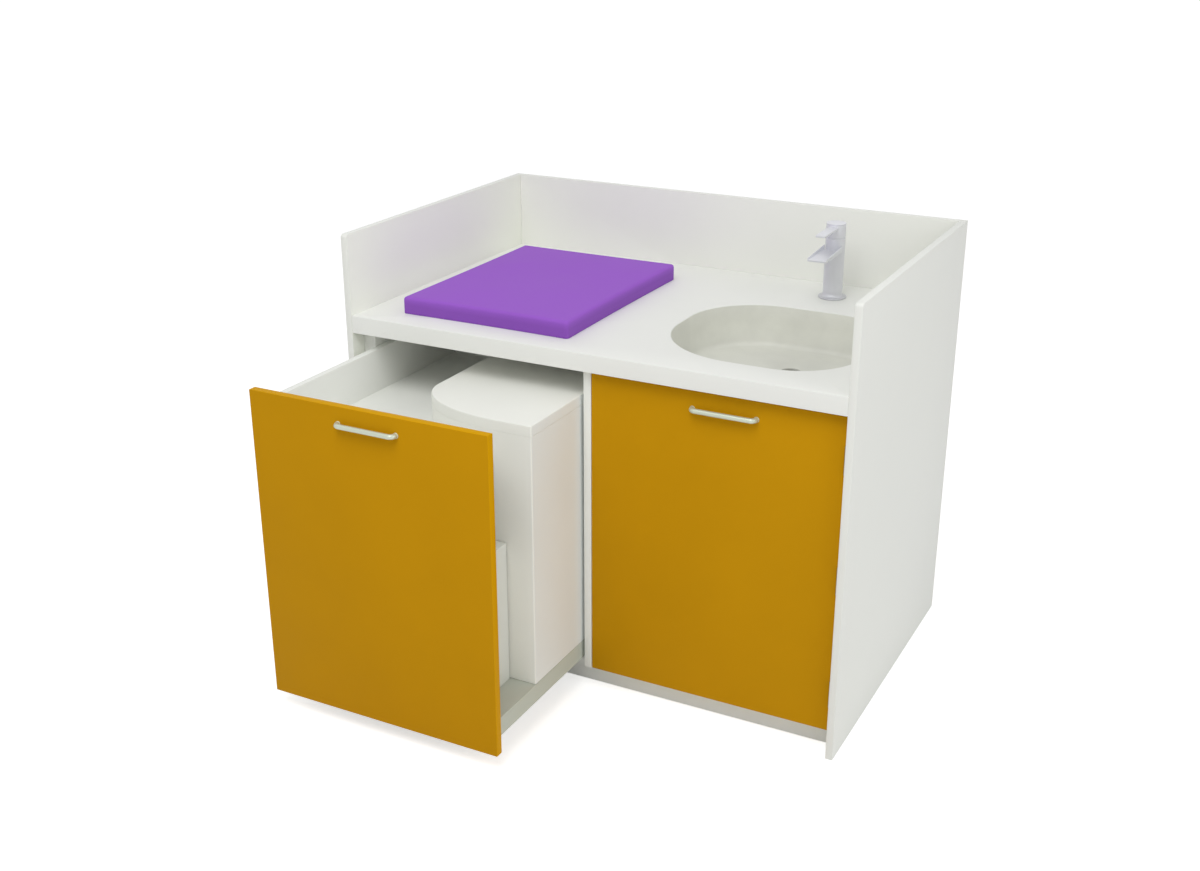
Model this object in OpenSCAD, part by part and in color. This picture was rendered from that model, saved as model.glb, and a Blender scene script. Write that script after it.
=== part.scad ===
// Changing table with basin: a cabinet with raised side and back guards, an
// inset worktop with a basin, a hinged door and a deep pull-out.
// Lengths are worked out from the cabinet's left outer face (x), its front
// edges (y) and the floor (z), and place() moves them to the row frame.

/* [Cabinet] */
// Overall width
cab_w = 1200; // [1150:10:1300]
// Overall depth
cab_d = 776; // [750:2:820]
// Overall height, to the top of the guards
cab_h = 1000; // [950:10:1050]
// Side panel thickness
side_t = 16; // [15:1:19]
// Back panel thickness
back_t = 16; // [12:1:19]
// Centre partition thickness
partition_t = 18; // [16:1:25]
// Left face of the centre partition, left of the cabinet's middle
partition_shift = 2; // [-4:1:10]
// Height of the worktop above the floor
worktop_z = 814; // [800:2:830]
// Worktop thickness
worktop_t = 40; // [36:1:45]
// Underside of the base panels above the floor
base_z = 56; // [50:1:60]
// Base panel thickness
base_t = 18; // [16:1:20]
// Plinth board thickness
plinth_t = 16; // [12:1:19]
// Plinth set back from the cabinet's front edges
plinth_setback = 59; // [50:1:75]
// Fronts set back from the cabinet's front edges
front_recess = 20; // [15:1:25]
// Worktop batten height and width
batten = 20; // [16:1:24]
// Filler post width beside the pull-out
filler_w = 32; // [28:1:34]
// Filler post depth
filler_d = 60; // [40:2:90]
// Dowel radius
dowel_r = 4; // [3:0.5:5]
// Dowel length in each board
dowel_in = 10; // [8:1:14]
// Dowels in from the edges of the joints they hold
dowel_edge = 70; // [50:5:100]

/* [Fronts] */
// Front panel thickness
front_t = 19; // [16:1:20]
// Gap round a front
reveal = 1.5; // [1:0.5:3]
// Gap between a front's top and the worktop's underside
reveal_top = 9; // [4:1:12]
// Gap between the door's edge and the side panel, for the hinge leaves
hinge_gap = 2.5; // [2.5:0.1:3]
// Bottom edge of the pull-out front above the floor
pull_front_z = 38; // [30:1:45]
// Top edge of the pull-out front below the door's top edge
pull_front_drop = 12; // [0:1:20]

/* [Handles] */
// Bar diameter of a bow handle
handle_d = 11; // [8:1:14]
// Distance between the two legs
handle_pitch = 140; // [96:2:160]
// Projection from the front, over the bar
handle_out = 18; // [16:1:36]
// Bend radius of the bar's centre line
handle_bend = 10; // [8:1:15]
// Pull-out handle centre below the front's top edge
handle_drop = 37; // [30:1:60]
// Door handle centre below the door's top edge
door_handle_drop = 38; // [30:1:60]
// Pull-out handle centre to the right of the front's centre line
pull_handle_shift = 6; // [-20:1:40]
// Door handle centre to the right of the door's centre line
door_handle_shift = 21; // [-20:1:40]
// Handle screw shank diameter
screw_d = 4; // [3:0.5:5]

/* [Pull-out] */
// How far the pull-out stands open at rest
pull_rest = 382; // [300:1:420]
// Gap between the closed pull-out and the back panel
pull_rear_gap = 21; // [10:1:40]
// Thickness of the pull-out's grey base
pull_base_t = 42.5; // [40:0.5:50]
// Running gap between the pull-out and the cabinet below it
pull_gap = 0.5; // [0.3:0.1:1]
// Gap between the pull-out's right side and the partition
pull_side_gap = 7; // [4:0.5:9]
// Gap between the pull-out's left side and the filler post
pull_left_gap = 2; // [1:0.5:4]
// Thickness of the pull-out's side and back boards
pull_side_t = 16; // [12:1:18]
// Top of the pull-out's side above the floor
pull_side_z = 735; // [720:1:742]
// Top of the tray board above the floor
tray_z = 637; // [600:1:650]
// Tray board thickness
tray_t = 18; // [12:1:19]
// Right end of the tray board, measured from the front's right end
tray_short = 112; // [100:2:130]

/* [Bins] */
// Tall bin top above the floor, with its lid
bin_z = 713; // [700:1:716]
// Tall bin width
bin_w = 309; // [280:1:320]
// Tall bin depth
bin_d = 440; // [400:5:480]
// Gap between the front's rear face and the tall bin
bin_front_gap = 153; // [140:1:160]
// Rounded corner, along the width
bin_rx = 218; // [150:2:230]
// Rounded corner, along the depth
bin_ry = 132; // [90:2:150]
// Bin wall thickness
bin_wall = 4; // [3:0.5:6]
// Lid height
lid_h = 24; // [18:1:30]
// Depth of the lid's spigot inside the bin
lid_spigot = 14; // [8:1:20]
// Clearance between a lid and its bin
lid_gap = 0.4; // [0.3:0.1:1]
// Low bin top above the floor, with its lid
low_bin_z = 442; // [380:1:480]
// Low bin width
low_bin_w = 190; // [150:2:200]
// Low bin's right face in from the pull-out's right side
low_bin_inset = 63; // [50:1:80]
// Clearance round the low bin
low_bin_gap = 2; // [1:0.5:4]

/* [Runners] */
// Width of a runner's fixed channel
runner_w = 46; // [40:1:50]
// Height of a runner's fixed channel
runner_h = 24; // [22:1:24]
// Sheet thickness of the runner's channels
runner_t = 2; // [1.5:0.25:2.5]
// Lip of the runner's channels
runner_lip = 5; // [3:0.5:6]
// Clearance between the runner's members
runner_gap = 0.3; // [0.2:0.05:0.5]
// Runner centre line in from the pull-out's side
runner_inset = 60; // [45:1:80]
// Gap between a runner's rear end and the back panel
runner_rear_gap = 59; // [30:1:90]
// Front end of the fixed channel behind the base panel's front edge
runner_setback = 10; // [5:1:20]

/* [Door hinges] */
// Hinge height
hinge_h = 60; // [50:2:75]
// Hinge leaf thickness
leaf_t = 1; // [0.8:0.1:1.1]
// Hinge leaf width
leaf_w = 17; // [14:1:18]
// Hinge knuckle radius
knuckle_r = 2.6; // [2.4:0.1:2.8]
// Hinge pin radius
pin_r = 1.3; // [1.1:0.1:1.4]
// Running clearance round the pin
pin_gap = 0.06; // [0.04:0.01:0.08]
// Hinge centre in from the door's top and bottom
hinge_in = 90; // [70:5:120]
// Play between knuckles
knuckle_gap = 0.4; // [0.3:0.1:0.6]

/* [Basin] */
// Left edge of the basin's mouth in from the centre partition
basin_left_gap = 80; // [70:1:90]
// Right edge of the basin's mouth in from the right side panel
basin_right_gap = 51; // [44:1:60]
// Front edge of the basin's mouth
basin_y0 = 90; // [84:1:110]
// Depth of the basin's mouth, front to back
basin_d = 431; // [410:1:440]
// Corner radius on the left, at the front
basin_rl = 200; // [150:1:210]
// Corner radius on the left, at the back
basin_rl_back = 166; // [150:1:190]
// Corner radius on the right
basin_rr = 150; // [110:1:160]
// Basin depth below the worktop's surface
basin_depth = 98; // [90:1:120]
// Basin wall thickness
basin_wall = 8; // [6:1:10]
// Basin flange width under the worktop
basin_flange = 18; // [14:1:20]
// How far the walls lean in by the floor
basin_draft = 8; // [6:1:14]
// Floor fillet of the basin
basin_fillet = 8; // [6:1:24]
// Waste outlet in from the basin's right edge
waste_right = 195; // [190:1:215]
// Waste outlet behind the basin's front edge
waste_back = 266; // [200:1:285]
// Waste flange radius
waste_flange_r = 25; // [24:1:35]
// Waste tail radius
waste_tail_r = 22; // [20:0.5:23]
// Waste tail length under the basin
waste_tail = 60; // [50:1:70]
// Trap body radius
trap_r = 34; // [30:1:40]
// Trap body height
trap_h = 110; // [90:2:130]
// Trap pipe radius
pipe_r = 16; // [14:0.5:18]
// Outlet pipe's centre line below the waste's tail
outlet_drop = 30; // [24:1:40]
// Radius of the opening round the outlet pipe in the back panel
pipe_hole_r = 34; // [30:1:38]
// Length of the outlet pipe behind its collar, for the wall's socket
outlet_free = 40; // [30:1:60]
// Pipe wall thickness
pipe_wall = 2; // [1.5:0.5:2.5]

/* [Tap] */
// Tap centre in from the basin's right edge
tap_right = 205; // [190:1:220]
// Tap centre in front of the back panel
tap_back = 113; // [100:1:125]
// Tap column radius
tap_r = 23; // [20:0.5:25]
// Tap foot radius
tap_foot_r = 33; // [30:0.5:36]
// Height of the foot's rim
tap_rim_h = 4; // [3:0.5:6]
// Height of the flare above the foot's rim
tap_flare_h = 9; // [6:0.5:12]
// Height of the tap above the worktop
tap_h = 178; // [170:1:195]
// Height of the handle's head
tap_head_h = 32; // [28:1:36]
// Cartridge height in the column
cartridge_h = 20; // [16:1:24]
// Width of the spout, less than the column
blade_w = 45; // [38:1:45]
// Spout reach from the column's centre line
spout_reach = 125; // [110:1:150]
// Spout floor above the worktop
spout_z = 113; // [100:1:118]
// Spout depth with its side lips, at the column
spout_h = 15; // [12:1:18]
// Spout depth with its side lips, at its mouth
spout_mouth_h = 8; // [6:1:15]
// Spout sheet thickness
spout_t = 4; // [3:0.5:5]
// Fall of the spout towards its mouth
spout_fall = 1; // [0.5:0.5:6]
// Lever width
lever_w = 23; // [18:1:40]
// Lever reach from the column's centre line
lever_reach = 110; // [90:1:125]
// Lever plate thickness
lever_t = 5; // [4:0.5:7]
// Lever's underside below the tap's top
lever_drop = 12; // [10:1:22]
// Fall of the lever towards its tip
lever_fall = 0.5; // [0.5:0.5:8]
// Gap between the column and the handle's head, for the lift
head_gap = 2.6; // [2.4:0.1:4]
// Lift pivot behind the column's centre line
lift_back = 15; // [13:0.5:16]
// Lift pivot above the head's lower edge
lift_up = 3.5; // [3:0.5:5]
// Lift pin radius
lift_pin_r = 1.5; // [1.2:0.1:1.8]
// Tap shank radius
shank_r = 16; // [14:0.5:17]
// Shank length under the worktop
shank_len = 34; // [28:1:40]
// Clearance of the tap's hole round the shank
shank_gap = 1.5; // [1:0.5:2.5]
// Inlet pipe radius
inlet_r = 5; // [4:0.5:6]
// Inlet pipe length below the shank
inlet_len = 60; // [40:5:80]
// Distance between the two inlet pipes
inlet_pitch = 19; // [18:0.5:20]

/* [Mat] */
// Mat width
mat_w = 424; // [400:2:440]
// Mat depth
mat_d = 548; // [520:2:560]
// Mat thickness at its edge
mat_t = 39; // [30:1:50]
// Crown of the mat's top
mat_crown = 4; // [2:0.5:8]
// How far the mat's sides are drawn in between the corners
mat_draw = 3; // [1:0.5:5]
// Mat corner radius in plan
mat_corner = 10; // [8:1:20]
// Left edge of the mat
mat_x = 110; // [100:2:130]
// Front edge of the mat
mat_y = 70; // [60:2:90]

/* [Hidden] */
$fn = 64;
eps = 0.01;
seat = 0.3;
lim = 10;
dowel_gap = 0.1;

worktop_under = worktop_z - worktop_t;
base_top = base_z + base_t;
front_y = front_recess;
front_back = front_y + front_t;
carcass_y = front_back + 2;
back_y = cab_d - back_t;
partition_x = cab_w / 2 - partition_shift;
partition_x1 = partition_x + partition_t;
front_top = worktop_under - reveal_top;
pull_front_top = front_top - pull_front_drop;

door_x0 = partition_x1 + reveal;
door_x1 = cab_w - side_t - hinge_gap;
door_z0 = base_z + 1;
door_cx = (door_x0 + door_x1) / 2;

pull_x0 = side_t + 2 * reveal;
pull_x1 = partition_x - 2;
pull_front_y = front_y - pull_rest;
pull_back_y = pull_front_y + front_t;
pull_depth = back_y - pull_rear_gap - front_back;
pull_end_y = pull_back_y + pull_depth;
pull_in_x0 = side_t + filler_w + pull_left_gap;
pull_in_x1 = partition_x - pull_side_gap;
pull_base_z = base_top + pull_gap;
pull_base_top = pull_base_z + pull_base_t;
pull_cx = (pull_x0 + pull_x1) / 2;
tray_x0 = pull_in_x0 + pull_side_t;
tray_x1 = pull_x1 - tray_short;

bin_x1 = pull_in_x1;
bin_x0 = bin_x1 - bin_w;
bin_y0 = pull_back_y + bin_front_gap;
bin_body_top = bin_z - lid_h;
low_x1 = pull_in_x1 - low_bin_inset;
low_x0 = low_x1 - low_bin_w;
low_y0 = pull_back_y + low_bin_gap;
low_y1 = bin_y0 - low_bin_gap;
low_body_top = low_bin_z - lid_h;

groove_w = runner_w + 4;
groove_h = runner_h + 2;
runner_x = [pull_in_x0 + runner_inset, pull_in_x1 - runner_inset];
runner_y = carcass_y + runner_setback;
runner_len = back_y - runner_rear_gap - runner_y;
mid_w = runner_w - 2 * runner_t - 2 * runner_gap;
mid_z = base_top + runner_t + runner_gap;
mid_h = runner_h - 2 * runner_t - 2 * runner_gap;
in_w = mid_w - 2 * runner_t - 2 * runner_gap;
in_z = mid_z + runner_t + runner_gap;
in_h = mid_h - 2 * runner_t - 2 * runner_gap;
neck_w = mid_w - 2 * runner_t - 2 * runner_lip - 2 * runner_gap;

neck_top = base_top + groove_h - in_z;

pin_x = cab_w - side_t - knuckle_r - 0.3;
pin_y = front_y - knuckle_r - 1.9;
hinge_z = [door_z0 + hinge_in, (door_z0 + front_top) / 2, front_top - hinge_in];

basin_x1 = cab_w - side_t - basin_right_gap;
basin_x0 = partition_x1 + basin_left_gap;
basin_y1 = basin_y0 + basin_d;
waste_x = basin_x1 - waste_right;
waste_y = basin_y0 + waste_back;
basin_floor = worktop_z - basin_depth;
basin_bottom = basin_floor - basin_wall;
tail_z = basin_bottom - waste_tail;
trap_z = tail_z - trap_h;
cup_h = 40;
clip_l = 24;
clip_bite = 8;
outlet_z = tail_z - outlet_drop;
outlet_y = waste_y + trap_r + 8 + seat;

tap_x = basin_x1 - tap_right;
tap_y = back_y - tap_back;
head_z = worktop_z + tap_h - tap_head_h;
column_top = head_z - head_gap;
lever_z = worktop_z + tap_h - lever_drop;
stem_r = 8;
stem_gap = 0.2;
lift_pin_w = 2 * sqrt(tap_r * tap_r - lift_back * lift_back) - 3;

front_most = pull_front_y - handle_out;
mid_y = (front_most + cab_d) / 2;

white = [0.88, 0.88, 0.85];
ochre = [0.72, 0.52, 0.05];
grey = [0.62, 0.63, 0.57];
metal = [0.72, 0.72, 0.75];
purple = [0.53, 0.33, 0.75];
dark = [0.3, 0.3, 0.3];

// The row frame's origin is under the middle of the object's box at rest
module place() translate([-cab_w / 2, -mid_y, 0]) children();

// Board between two opposite corners
module board(a, b) place() translate(a) cube(b - a);

module at(p) place() translate(p) children();

// Cabinet

// Side panel from x0, its front bottom corner square on the floor
module side_panel(x0) board([x0, 0, 0], [x0 + side_t, cab_d, cab_h]);

// Pilot holes that a hinge's screws take in the edge they are driven into
module hinge_pilots(x0, x1) {
    for (z = hinge_z, s = [-1, 1])
        at([x0, front_y + leaf_w / 2 + 1, z + s * hinge_h / 4])
            rotate([0, 90, 0]) cylinder(h = x1 - x0, r = 1.25);
}

// Place i of n + 1 evenly spaced dowels along a joint from a to b
function spaced(a, b, i, n) = a + dowel_edge + i * (b - a - 2 * dowel_edge) / n;

// Dowels across the joints between the side panels and the boards they carry,
// grown by g for the holes
module dowels(g) {
    for (x = [side_t, cab_w - side_t]) {
        for (y = [0:2]) {
            at([x, spaced(carcass_y, back_y, y, 2), base_z + base_t / 2]) dowel(g);
            at([x, spaced(0, back_y, y, 2), worktop_z - worktop_t / 2]) dowel(g);
        }
        for (z = [0:3]) at([x, cab_d - back_t / 2, spaced(0, cab_h, z, 3)]) dowel(g);
    }
}

// Wooden dowel along x, half in each board
module dowel(g) translate([-dowel_in - g, 0, 0]) rotate([0, 90, 0])
    cylinder(h = 2 * (dowel_in + g), r = dowel_r + g);

module panel_dowels() color([0.8, 0.68, 0.45]) dowels(0);

module left_side_panel() color(white) difference() {
    side_panel(0);
    dowels(dowel_gap);
}

module right_side_panel() color(white) difference() {
    side_panel(cab_w - side_t);
    hinge_pilots(cab_w - side_t - 1, cab_w - side_t + lim);
    dowels(dowel_gap);
}

module back_panel() color(white) difference() {
    board([side_t, back_y, 0], [cab_w - side_t, cab_d, cab_h]);
    dowels(dowel_gap);
    at([waste_x, back_y - 1, outlet_z]) rotate([-90, 0, 0]) cylinder(h = back_t + 2, r = pipe_hole_r);
}

module centre_partition() color(white)
    board([partition_x, front_y, base_z], [partition_x1, back_y, worktop_under]);

module base_panel(x0, x1) color(white) difference() {
    board([x0, carcass_y, base_z], [x1, back_y, base_top]);
    dowels(dowel_gap);
    runner_screw_places() translate([0, 0, -15]) cylinder(h = 16, r = screw_d / 2 + 0.1);
}

module base_panel_left() base_panel(side_t, partition_x);

module base_panel_right() base_panel(partition_x1, cab_w - side_t);

module plinth() color(white)
    board([side_t, plinth_setback, 0], [cab_w - side_t, plinth_setback + plinth_t, base_z]);

module plinth_rail() color(white)
    board([partition_x, plinth_setback + plinth_t, 0], [partition_x1, back_y, base_z]);

module filler_post() color(white)
    board([side_t, carcass_y, base_top], [side_t + filler_w, carcass_y + filler_d, worktop_under]);

// Battens that carry the worktop along the sides and the back
module worktop_battens() color(white) {
    z0 = worktop_under - batten;
    board([side_t, carcass_y + filler_d, z0], [side_t + batten, back_y, worktop_under]);
    board([cab_w - side_t - batten, front_back + leaf_w, z0], [cab_w - side_t, back_y, worktop_under]);
    board([side_t + batten, back_y - batten, z0], [partition_x, back_y, worktop_under]);
    board([partition_x1, back_y - batten, z0], [cab_w - side_t - batten, back_y, worktop_under]);
}

// Basin

// Mouth of the basin in plan, drawn in by d
module basin_plan(d) {
    x = [basin_x0 + d, basin_x0 + basin_rl, basin_x0 + basin_rl_back, basin_x1 - basin_rr, basin_x1 - d];
    y = [basin_y0 + d, basin_y0 + basin_rl, basin_y1 - basin_rl_back, basin_y1 - d];
    ry = [basin_y0 + basin_rr, basin_y1 - basin_rr];
    translate([x[1], y[1]]) circle(r = basin_rl - d);
    translate([x[2], y[2]]) circle(r = basin_rl_back - d);
    for (v = ry) translate([x[3], v]) circle(r = basin_rr - d);
    polygon([[x[1], y[0]], [x[3], y[0]], [x[4], ry[0]], [x[4], ry[1]],
        [x[3], y[3]], [x[2], y[3]], [x[0], y[2]], [x[0], y[1]]]);
}

module basin_slice(z, d) translate([0, 0, z]) linear_extrude(eps) basin_plan(d);

module worktop() color(white) difference() {
    board([side_t, 0, worktop_under], [cab_w - side_t, back_y, worktop_z]);
    place() translate([0, 0, worktop_under - 1]) linear_extrude(worktop_t + 2) basin_plan(0);
    dowels(dowel_gap);
    clip_places() translate([0, 0, -1]) cylinder(h = 13, r = screw_d / 2 + 0.1);
    at([tap_x, tap_y, worktop_under - 1]) cylinder(h = worktop_t + 2, r = shank_r + shank_gap);
}

module basin_bowl() color(white) difference() {
    union() {
        place() translate([0, 0, worktop_under - basin_wall])
            linear_extrude(basin_wall) basin_plan(-basin_flange);
        place() hull() {
            basin_slice(worktop_under - basin_wall, -basin_wall);
            basin_slice(basin_floor + basin_fillet, basin_draft - basin_wall);
            basin_slice(basin_bottom, basin_draft + basin_fillet / 2 - basin_wall);
        }
    }
    place() hull() {
        basin_slice(worktop_under, 0);
        basin_slice(basin_floor + basin_fillet, basin_draft);
        basin_slice(basin_floor + basin_fillet / 4, basin_draft + basin_fillet / 4);
        basin_slice(basin_floor, basin_draft + basin_fillet);
    }
    at([waste_x, waste_y, basin_bottom - 1]) cylinder(h = basin_wall + 2, r = waste_tail_r + seat);
}

// Screw places of the clips that hold the basin's flange, on the worktop's underside,
// turned so that +x points at the flange
module clip_places() {
    xs = [basin_x0 + basin_rl, basin_x1 - basin_rr];
    out = basin_flange + clip_l / 2 - clip_bite;
    for (x = xs) {
        at([x, basin_y0 - out, worktop_under]) rotate([0, 0, 90]) children();
        at([x, basin_y1 + out, worktop_under]) rotate([0, 0, -90]) children();
    }
    at([basin_x0 - out, (basin_y0 + basin_rl + basin_y1 - basin_rl_back) / 2, worktop_under]) children();
}

module basin_clips() color(metal) clip_places() difference() {
    union() {
        translate([-clip_l / 2, -clip_l / 2, -basin_wall - 2]) cube([clip_l, clip_l, 2]);
        translate([-clip_l / 2, -clip_l / 2, -basin_wall - 1])
            cube([clip_l - clip_bite - 1, clip_l, basin_wall + 1]);
    }
    translate([0, 0, -basin_wall - 3]) cylinder(h = basin_wall + 4, r = screw_d / 2 + 0.1);
}

module basin_clip_screws() color(metal) clip_places() {
    translate([0, 0, -basin_wall - 4]) cylinder(h = 2, r = screw_d);
    translate([0, 0, -basin_wall - 3]) cylinder(h = basin_wall + 14, r = screw_d / 2);
}

// Waste and trap

module ring(r, wall, h) difference() {
    cylinder(h = h, r = r);
    translate([0, 0, -1]) cylinder(h = h + 2, r = r - wall);
}

module waste_flange() color(metal) at([waste_x, waste_y, 0]) difference() {
    union() {
        translate([0, 0, basin_floor]) cylinder(h = 2, r = waste_flange_r);
        translate([0, 0, tail_z]) cylinder(h = basin_floor - tail_z, r = waste_tail_r);
    }
    translate([0, 0, tail_z - 1]) cylinder(h = basin_floor - tail_z - 3, r = waste_tail_r - pipe_wall);
    for (a = [0:60:300]) rotate([0, 0, a]) translate([12, 0, basin_floor - 6]) cylinder(h = 10, r = 4);
    translate([0, 0, basin_floor - 6]) cylinder(h = 10, r = 4);
}

module waste_nut() color(metal) at([waste_x, waste_y, basin_bottom - 10])
    ring(waste_flange_r, waste_flange_r - waste_tail_r - seat, 10);

module trap_body() color(white) at([waste_x, waste_y, 0]) difference() {
    union() {
        translate([0, 0, trap_z + cup_h]) cylinder(h = trap_h - cup_h, r = trap_r);
        translate([0, 0, tail_z]) cylinder(h = 14, r = waste_tail_r + pipe_wall + 4);
        translate([0, 0, outlet_z]) rotate([-90, 0, 0]) cylinder(h = trap_r + 22, r = pipe_r + 4);
    }
    translate([0, 0, trap_z + cup_h - 1]) cylinder(h = trap_h - cup_h - 5, r = trap_r - 3);
    translate([0, 0, tail_z - 7]) cylinder(h = 30, r = waste_tail_r - pipe_wall);
    translate([0, 0, tail_z]) cylinder(h = 15, r = waste_tail_r + seat);
    translate([0, 0, outlet_z]) rotate([-90, 0, 0]) cylinder(h = trap_r + 23, r = pipe_r - pipe_wall);
    translate([0, trap_r + 8, outlet_z]) rotate([-90, 0, 0]) cylinder(h = 20, r = pipe_r + seat);
}

module trap_cup() color(white) at([waste_x, waste_y, trap_z]) difference() {
    union() {
        cylinder(h = cup_h - seat, r = trap_r);
        translate([0, 0, cup_h - 14]) cylinder(h = 14 - seat, r = trap_r + 4);
    }
    translate([0, 0, 4]) cylinder(h = cup_h, r = trap_r - 3);
}

// Pipe from the trap to the cabinet's back, with the collar that stops a socket
module trap_outlet() color(white) at([waste_x, outlet_y, outlet_z]) rotate([-90, 0, 0]) difference() {
    union() {
        cylinder(h = cab_d - outlet_y, r = pipe_r);
        translate([0, 0, cab_d - outlet_y - outlet_free - 4]) cylinder(h = 4, r = pipe_r + 3);
    }
    translate([0, 0, -1]) cylinder(h = cab_d - outlet_y + 2, r = pipe_r - pipe_wall);
}

// Tap

// Trough of the spout, from the column forwards, falling towards its mouth
module spout() {
    fall = atan(spout_fall / spout_reach);
    translate([-blade_w / 2, 0, spout_z]) rotate([fall, 0, 0]) difference() {
        rotate([90, 0, 90]) linear_extrude(blade_w)
            polygon([[-spout_reach, 0], [0, 0], [0, spout_h], [-spout_reach, spout_mouth_h]]);
        translate([spout_t / 2, -spout_reach - 1, spout_t])
            cube([blade_w - spout_t, spout_reach + 1, spout_h]);
    }
}

module tap_body() color(metal) at([tap_x, tap_y, worktop_z]) difference() {
    union() {
        cylinder(h = tap_rim_h, r = tap_foot_r);
        translate([0, 0, tap_rim_h]) cylinder(h = tap_flare_h, r1 = tap_foot_r - 3, r2 = tap_r);
        cylinder(h = column_top - worktop_z, r = tap_r);
        spout();
    }
    translate([0, 0, column_top - worktop_z - cartridge_h]) cylinder(h = 30, r = tap_r - 5);
}

module tap_cartridge() color(dark) at([tap_x, tap_y, column_top - cartridge_h]) {
    cylinder(h = cartridge_h, r = tap_r - 5 - seat);
    translate([0, 0, cartridge_h]) cylinder(h = 5, r = stem_r);
}

// Turning collar on the cartridge's stem, with the lug that carries the lift pin
module tap_collar() color(dark) at([tap_x, tap_y, column_top + stem_gap]) difference() {
    union() {
        cylinder(h = 3.5, r = tap_r - 7);
        translate([-5, lift_back - 3, 0]) cube([10, 5, lift_up + head_gap]);
        translate([-5, lift_back, lift_up + head_gap - stem_gap]) rotate([0, 90, 0])
            cylinder(h = 10, r = 3);
    }
    translate([0, 0, -1]) cylinder(h = 6, r = stem_r + pin_gap);
    lift_bore(lift_pin_r + pin_gap, 20, column_top + stem_gap);
}

// Bore across the tap for its lift pin, seen from height z
module lift_bore(r, w, z) translate([-w / 2, lift_back, head_z + lift_up - z])
    rotate([0, 90, 0]) cylinder(h = w, r = r);

module tap_lift_pin() color(metal) at([tap_x, tap_y, 0]) lift_bore(lift_pin_r, lift_pin_w, 0);

// Head of the handle with its flat lever, hollow over the collar
module tap_handle() color(metal) at([tap_x, tap_y, 0]) difference() {
    union() {
        translate([0, 0, head_z]) cylinder(h = tap_head_h - 2, r = tap_r);
        translate([-lever_w / 2, 0, lever_z]) rotate([atan(lever_fall / lever_reach), 0, 0])
            translate([0, -lever_reach, 0]) cube([lever_w, lever_reach, lever_t]);
    }
    translate([0, 0, head_z - 1]) cylinder(h = 12, r = tap_r - 3);
    lift_bore(lift_pin_r + eps, lift_pin_w, 0);
}

module tap_cap() color(metal) at([tap_x, tap_y, worktop_z + tap_h - 2]) cylinder(h = 2, r = tap_r - 0.5);

module tap_shank() color(metal) at([tap_x, tap_y, worktop_under - shank_len]) difference() {
    cylinder(h = worktop_t + shank_len, r = shank_r);
    for (s = [-1, 1]) translate([s * inlet_pitch / 2, 0, -1]) cylinder(h = 20, r = inlet_r - 1 + seat);
}

module tap_nut() color(metal) at([tap_x, tap_y, worktop_under - 12])
    ring(shank_r + 12, 12 - seat, 12);

// Inlet pipes, each with a thinner end screwed into the shank
module tap_inlets() color([0.75, 0.5, 0.35]) for (s = [-1, 1])
    at([tap_x + s * inlet_pitch / 2, tap_y, worktop_under - shank_len - inlet_len]) difference() {
        union() {
            cylinder(h = inlet_len, r = inlet_r);
            cylinder(h = inlet_len + 18, r = inlet_r - 1);
        }
        translate([0, 0, -1]) cylinder(h = inlet_len + 20, r = inlet_r - 2);
    }

// Handles

// Bow handle on a front whose face lies at y = 0, centred at the origin
module bow_handle() {
    r = handle_d / 2;
    bar_y = r - handle_out;
    half = handle_pitch / 2;
    difference() {
        union() {
            translate([handle_bend - half, bar_y, 0]) rotate([0, 90, 0])
                cylinder(h = handle_pitch - 2 * handle_bend, r = r);
            for (s = [-1, 1]) {
                translate([s * half, 0, 0]) rotate([90, 0, 0])
                    cylinder(h = -bar_y - handle_bend, r = r);
                translate([s * (half - handle_bend), bar_y + handle_bend, 0])
                    rotate([0, 0, s > 0 ? 270 : 180])
                        rotate_extrude(angle = 90) translate([handle_bend, 0]) circle(r = r);
            }
        }
        for (s = [-1, 1]) translate([s * half, 1, 0]) rotate([90, 0, 0])
            cylinder(h = handle_out - 7, r = screw_d / 2);
    }
}

// The two screws of a handle, driven from the back of the front
module handle_screws() for (s = [-1, 1]) translate([s * handle_pitch / 2, front_t, 0]) rotate([90, 0, 0]) {
    translate([0, 0, -2.5]) cylinder(h = 2.5, r = screw_d);
    cylinder(h = front_t + handle_out - 9, r = screw_d / 2 - 0.1);
}

module handle_holes() for (s = [-1, 1]) translate([s * handle_pitch / 2, -1, 0])
    rotate([-90, 0, 0]) cylinder(h = front_t + 2, r = screw_d / 2);

pull_handle_at = [pull_cx + pull_handle_shift, pull_front_y, pull_front_top - handle_drop];
door_handle_at = [door_cx + door_handle_shift, front_y, front_top - door_handle_drop];

// Pull-out

module pullout_front() color(ochre) difference() {
    board([pull_x0, pull_front_y, pull_front_z], [pull_x1, pull_back_y, pull_front_top]);
    at(pull_handle_at) handle_holes();
}

module pullout_handle() color(metal) at(pull_handle_at) bow_handle();

module pullout_handle_screws() color(metal) at(pull_handle_at) handle_screws();

module pullout_side() color(white)
    board([pull_in_x0, pull_back_y, pull_base_top], [tray_x0, pull_end_y, pull_side_z]);

module pullout_back() color(white)
    board([tray_x0, pull_end_y - pull_side_t, pull_base_top], [pull_in_x1, pull_end_y, pull_side_z]);

module pullout_base() color(grey) difference() {
    board([pull_in_x0, pull_back_y, pull_base_z], [pull_in_x1, pull_end_y, pull_base_top]);
    for (x = runner_x)
        board([x - groove_w / 2, pull_back_y - 1, pull_base_z - 1],
            [x + groove_w / 2, pull_end_y + 1, base_top + groove_h]);
}

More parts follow.
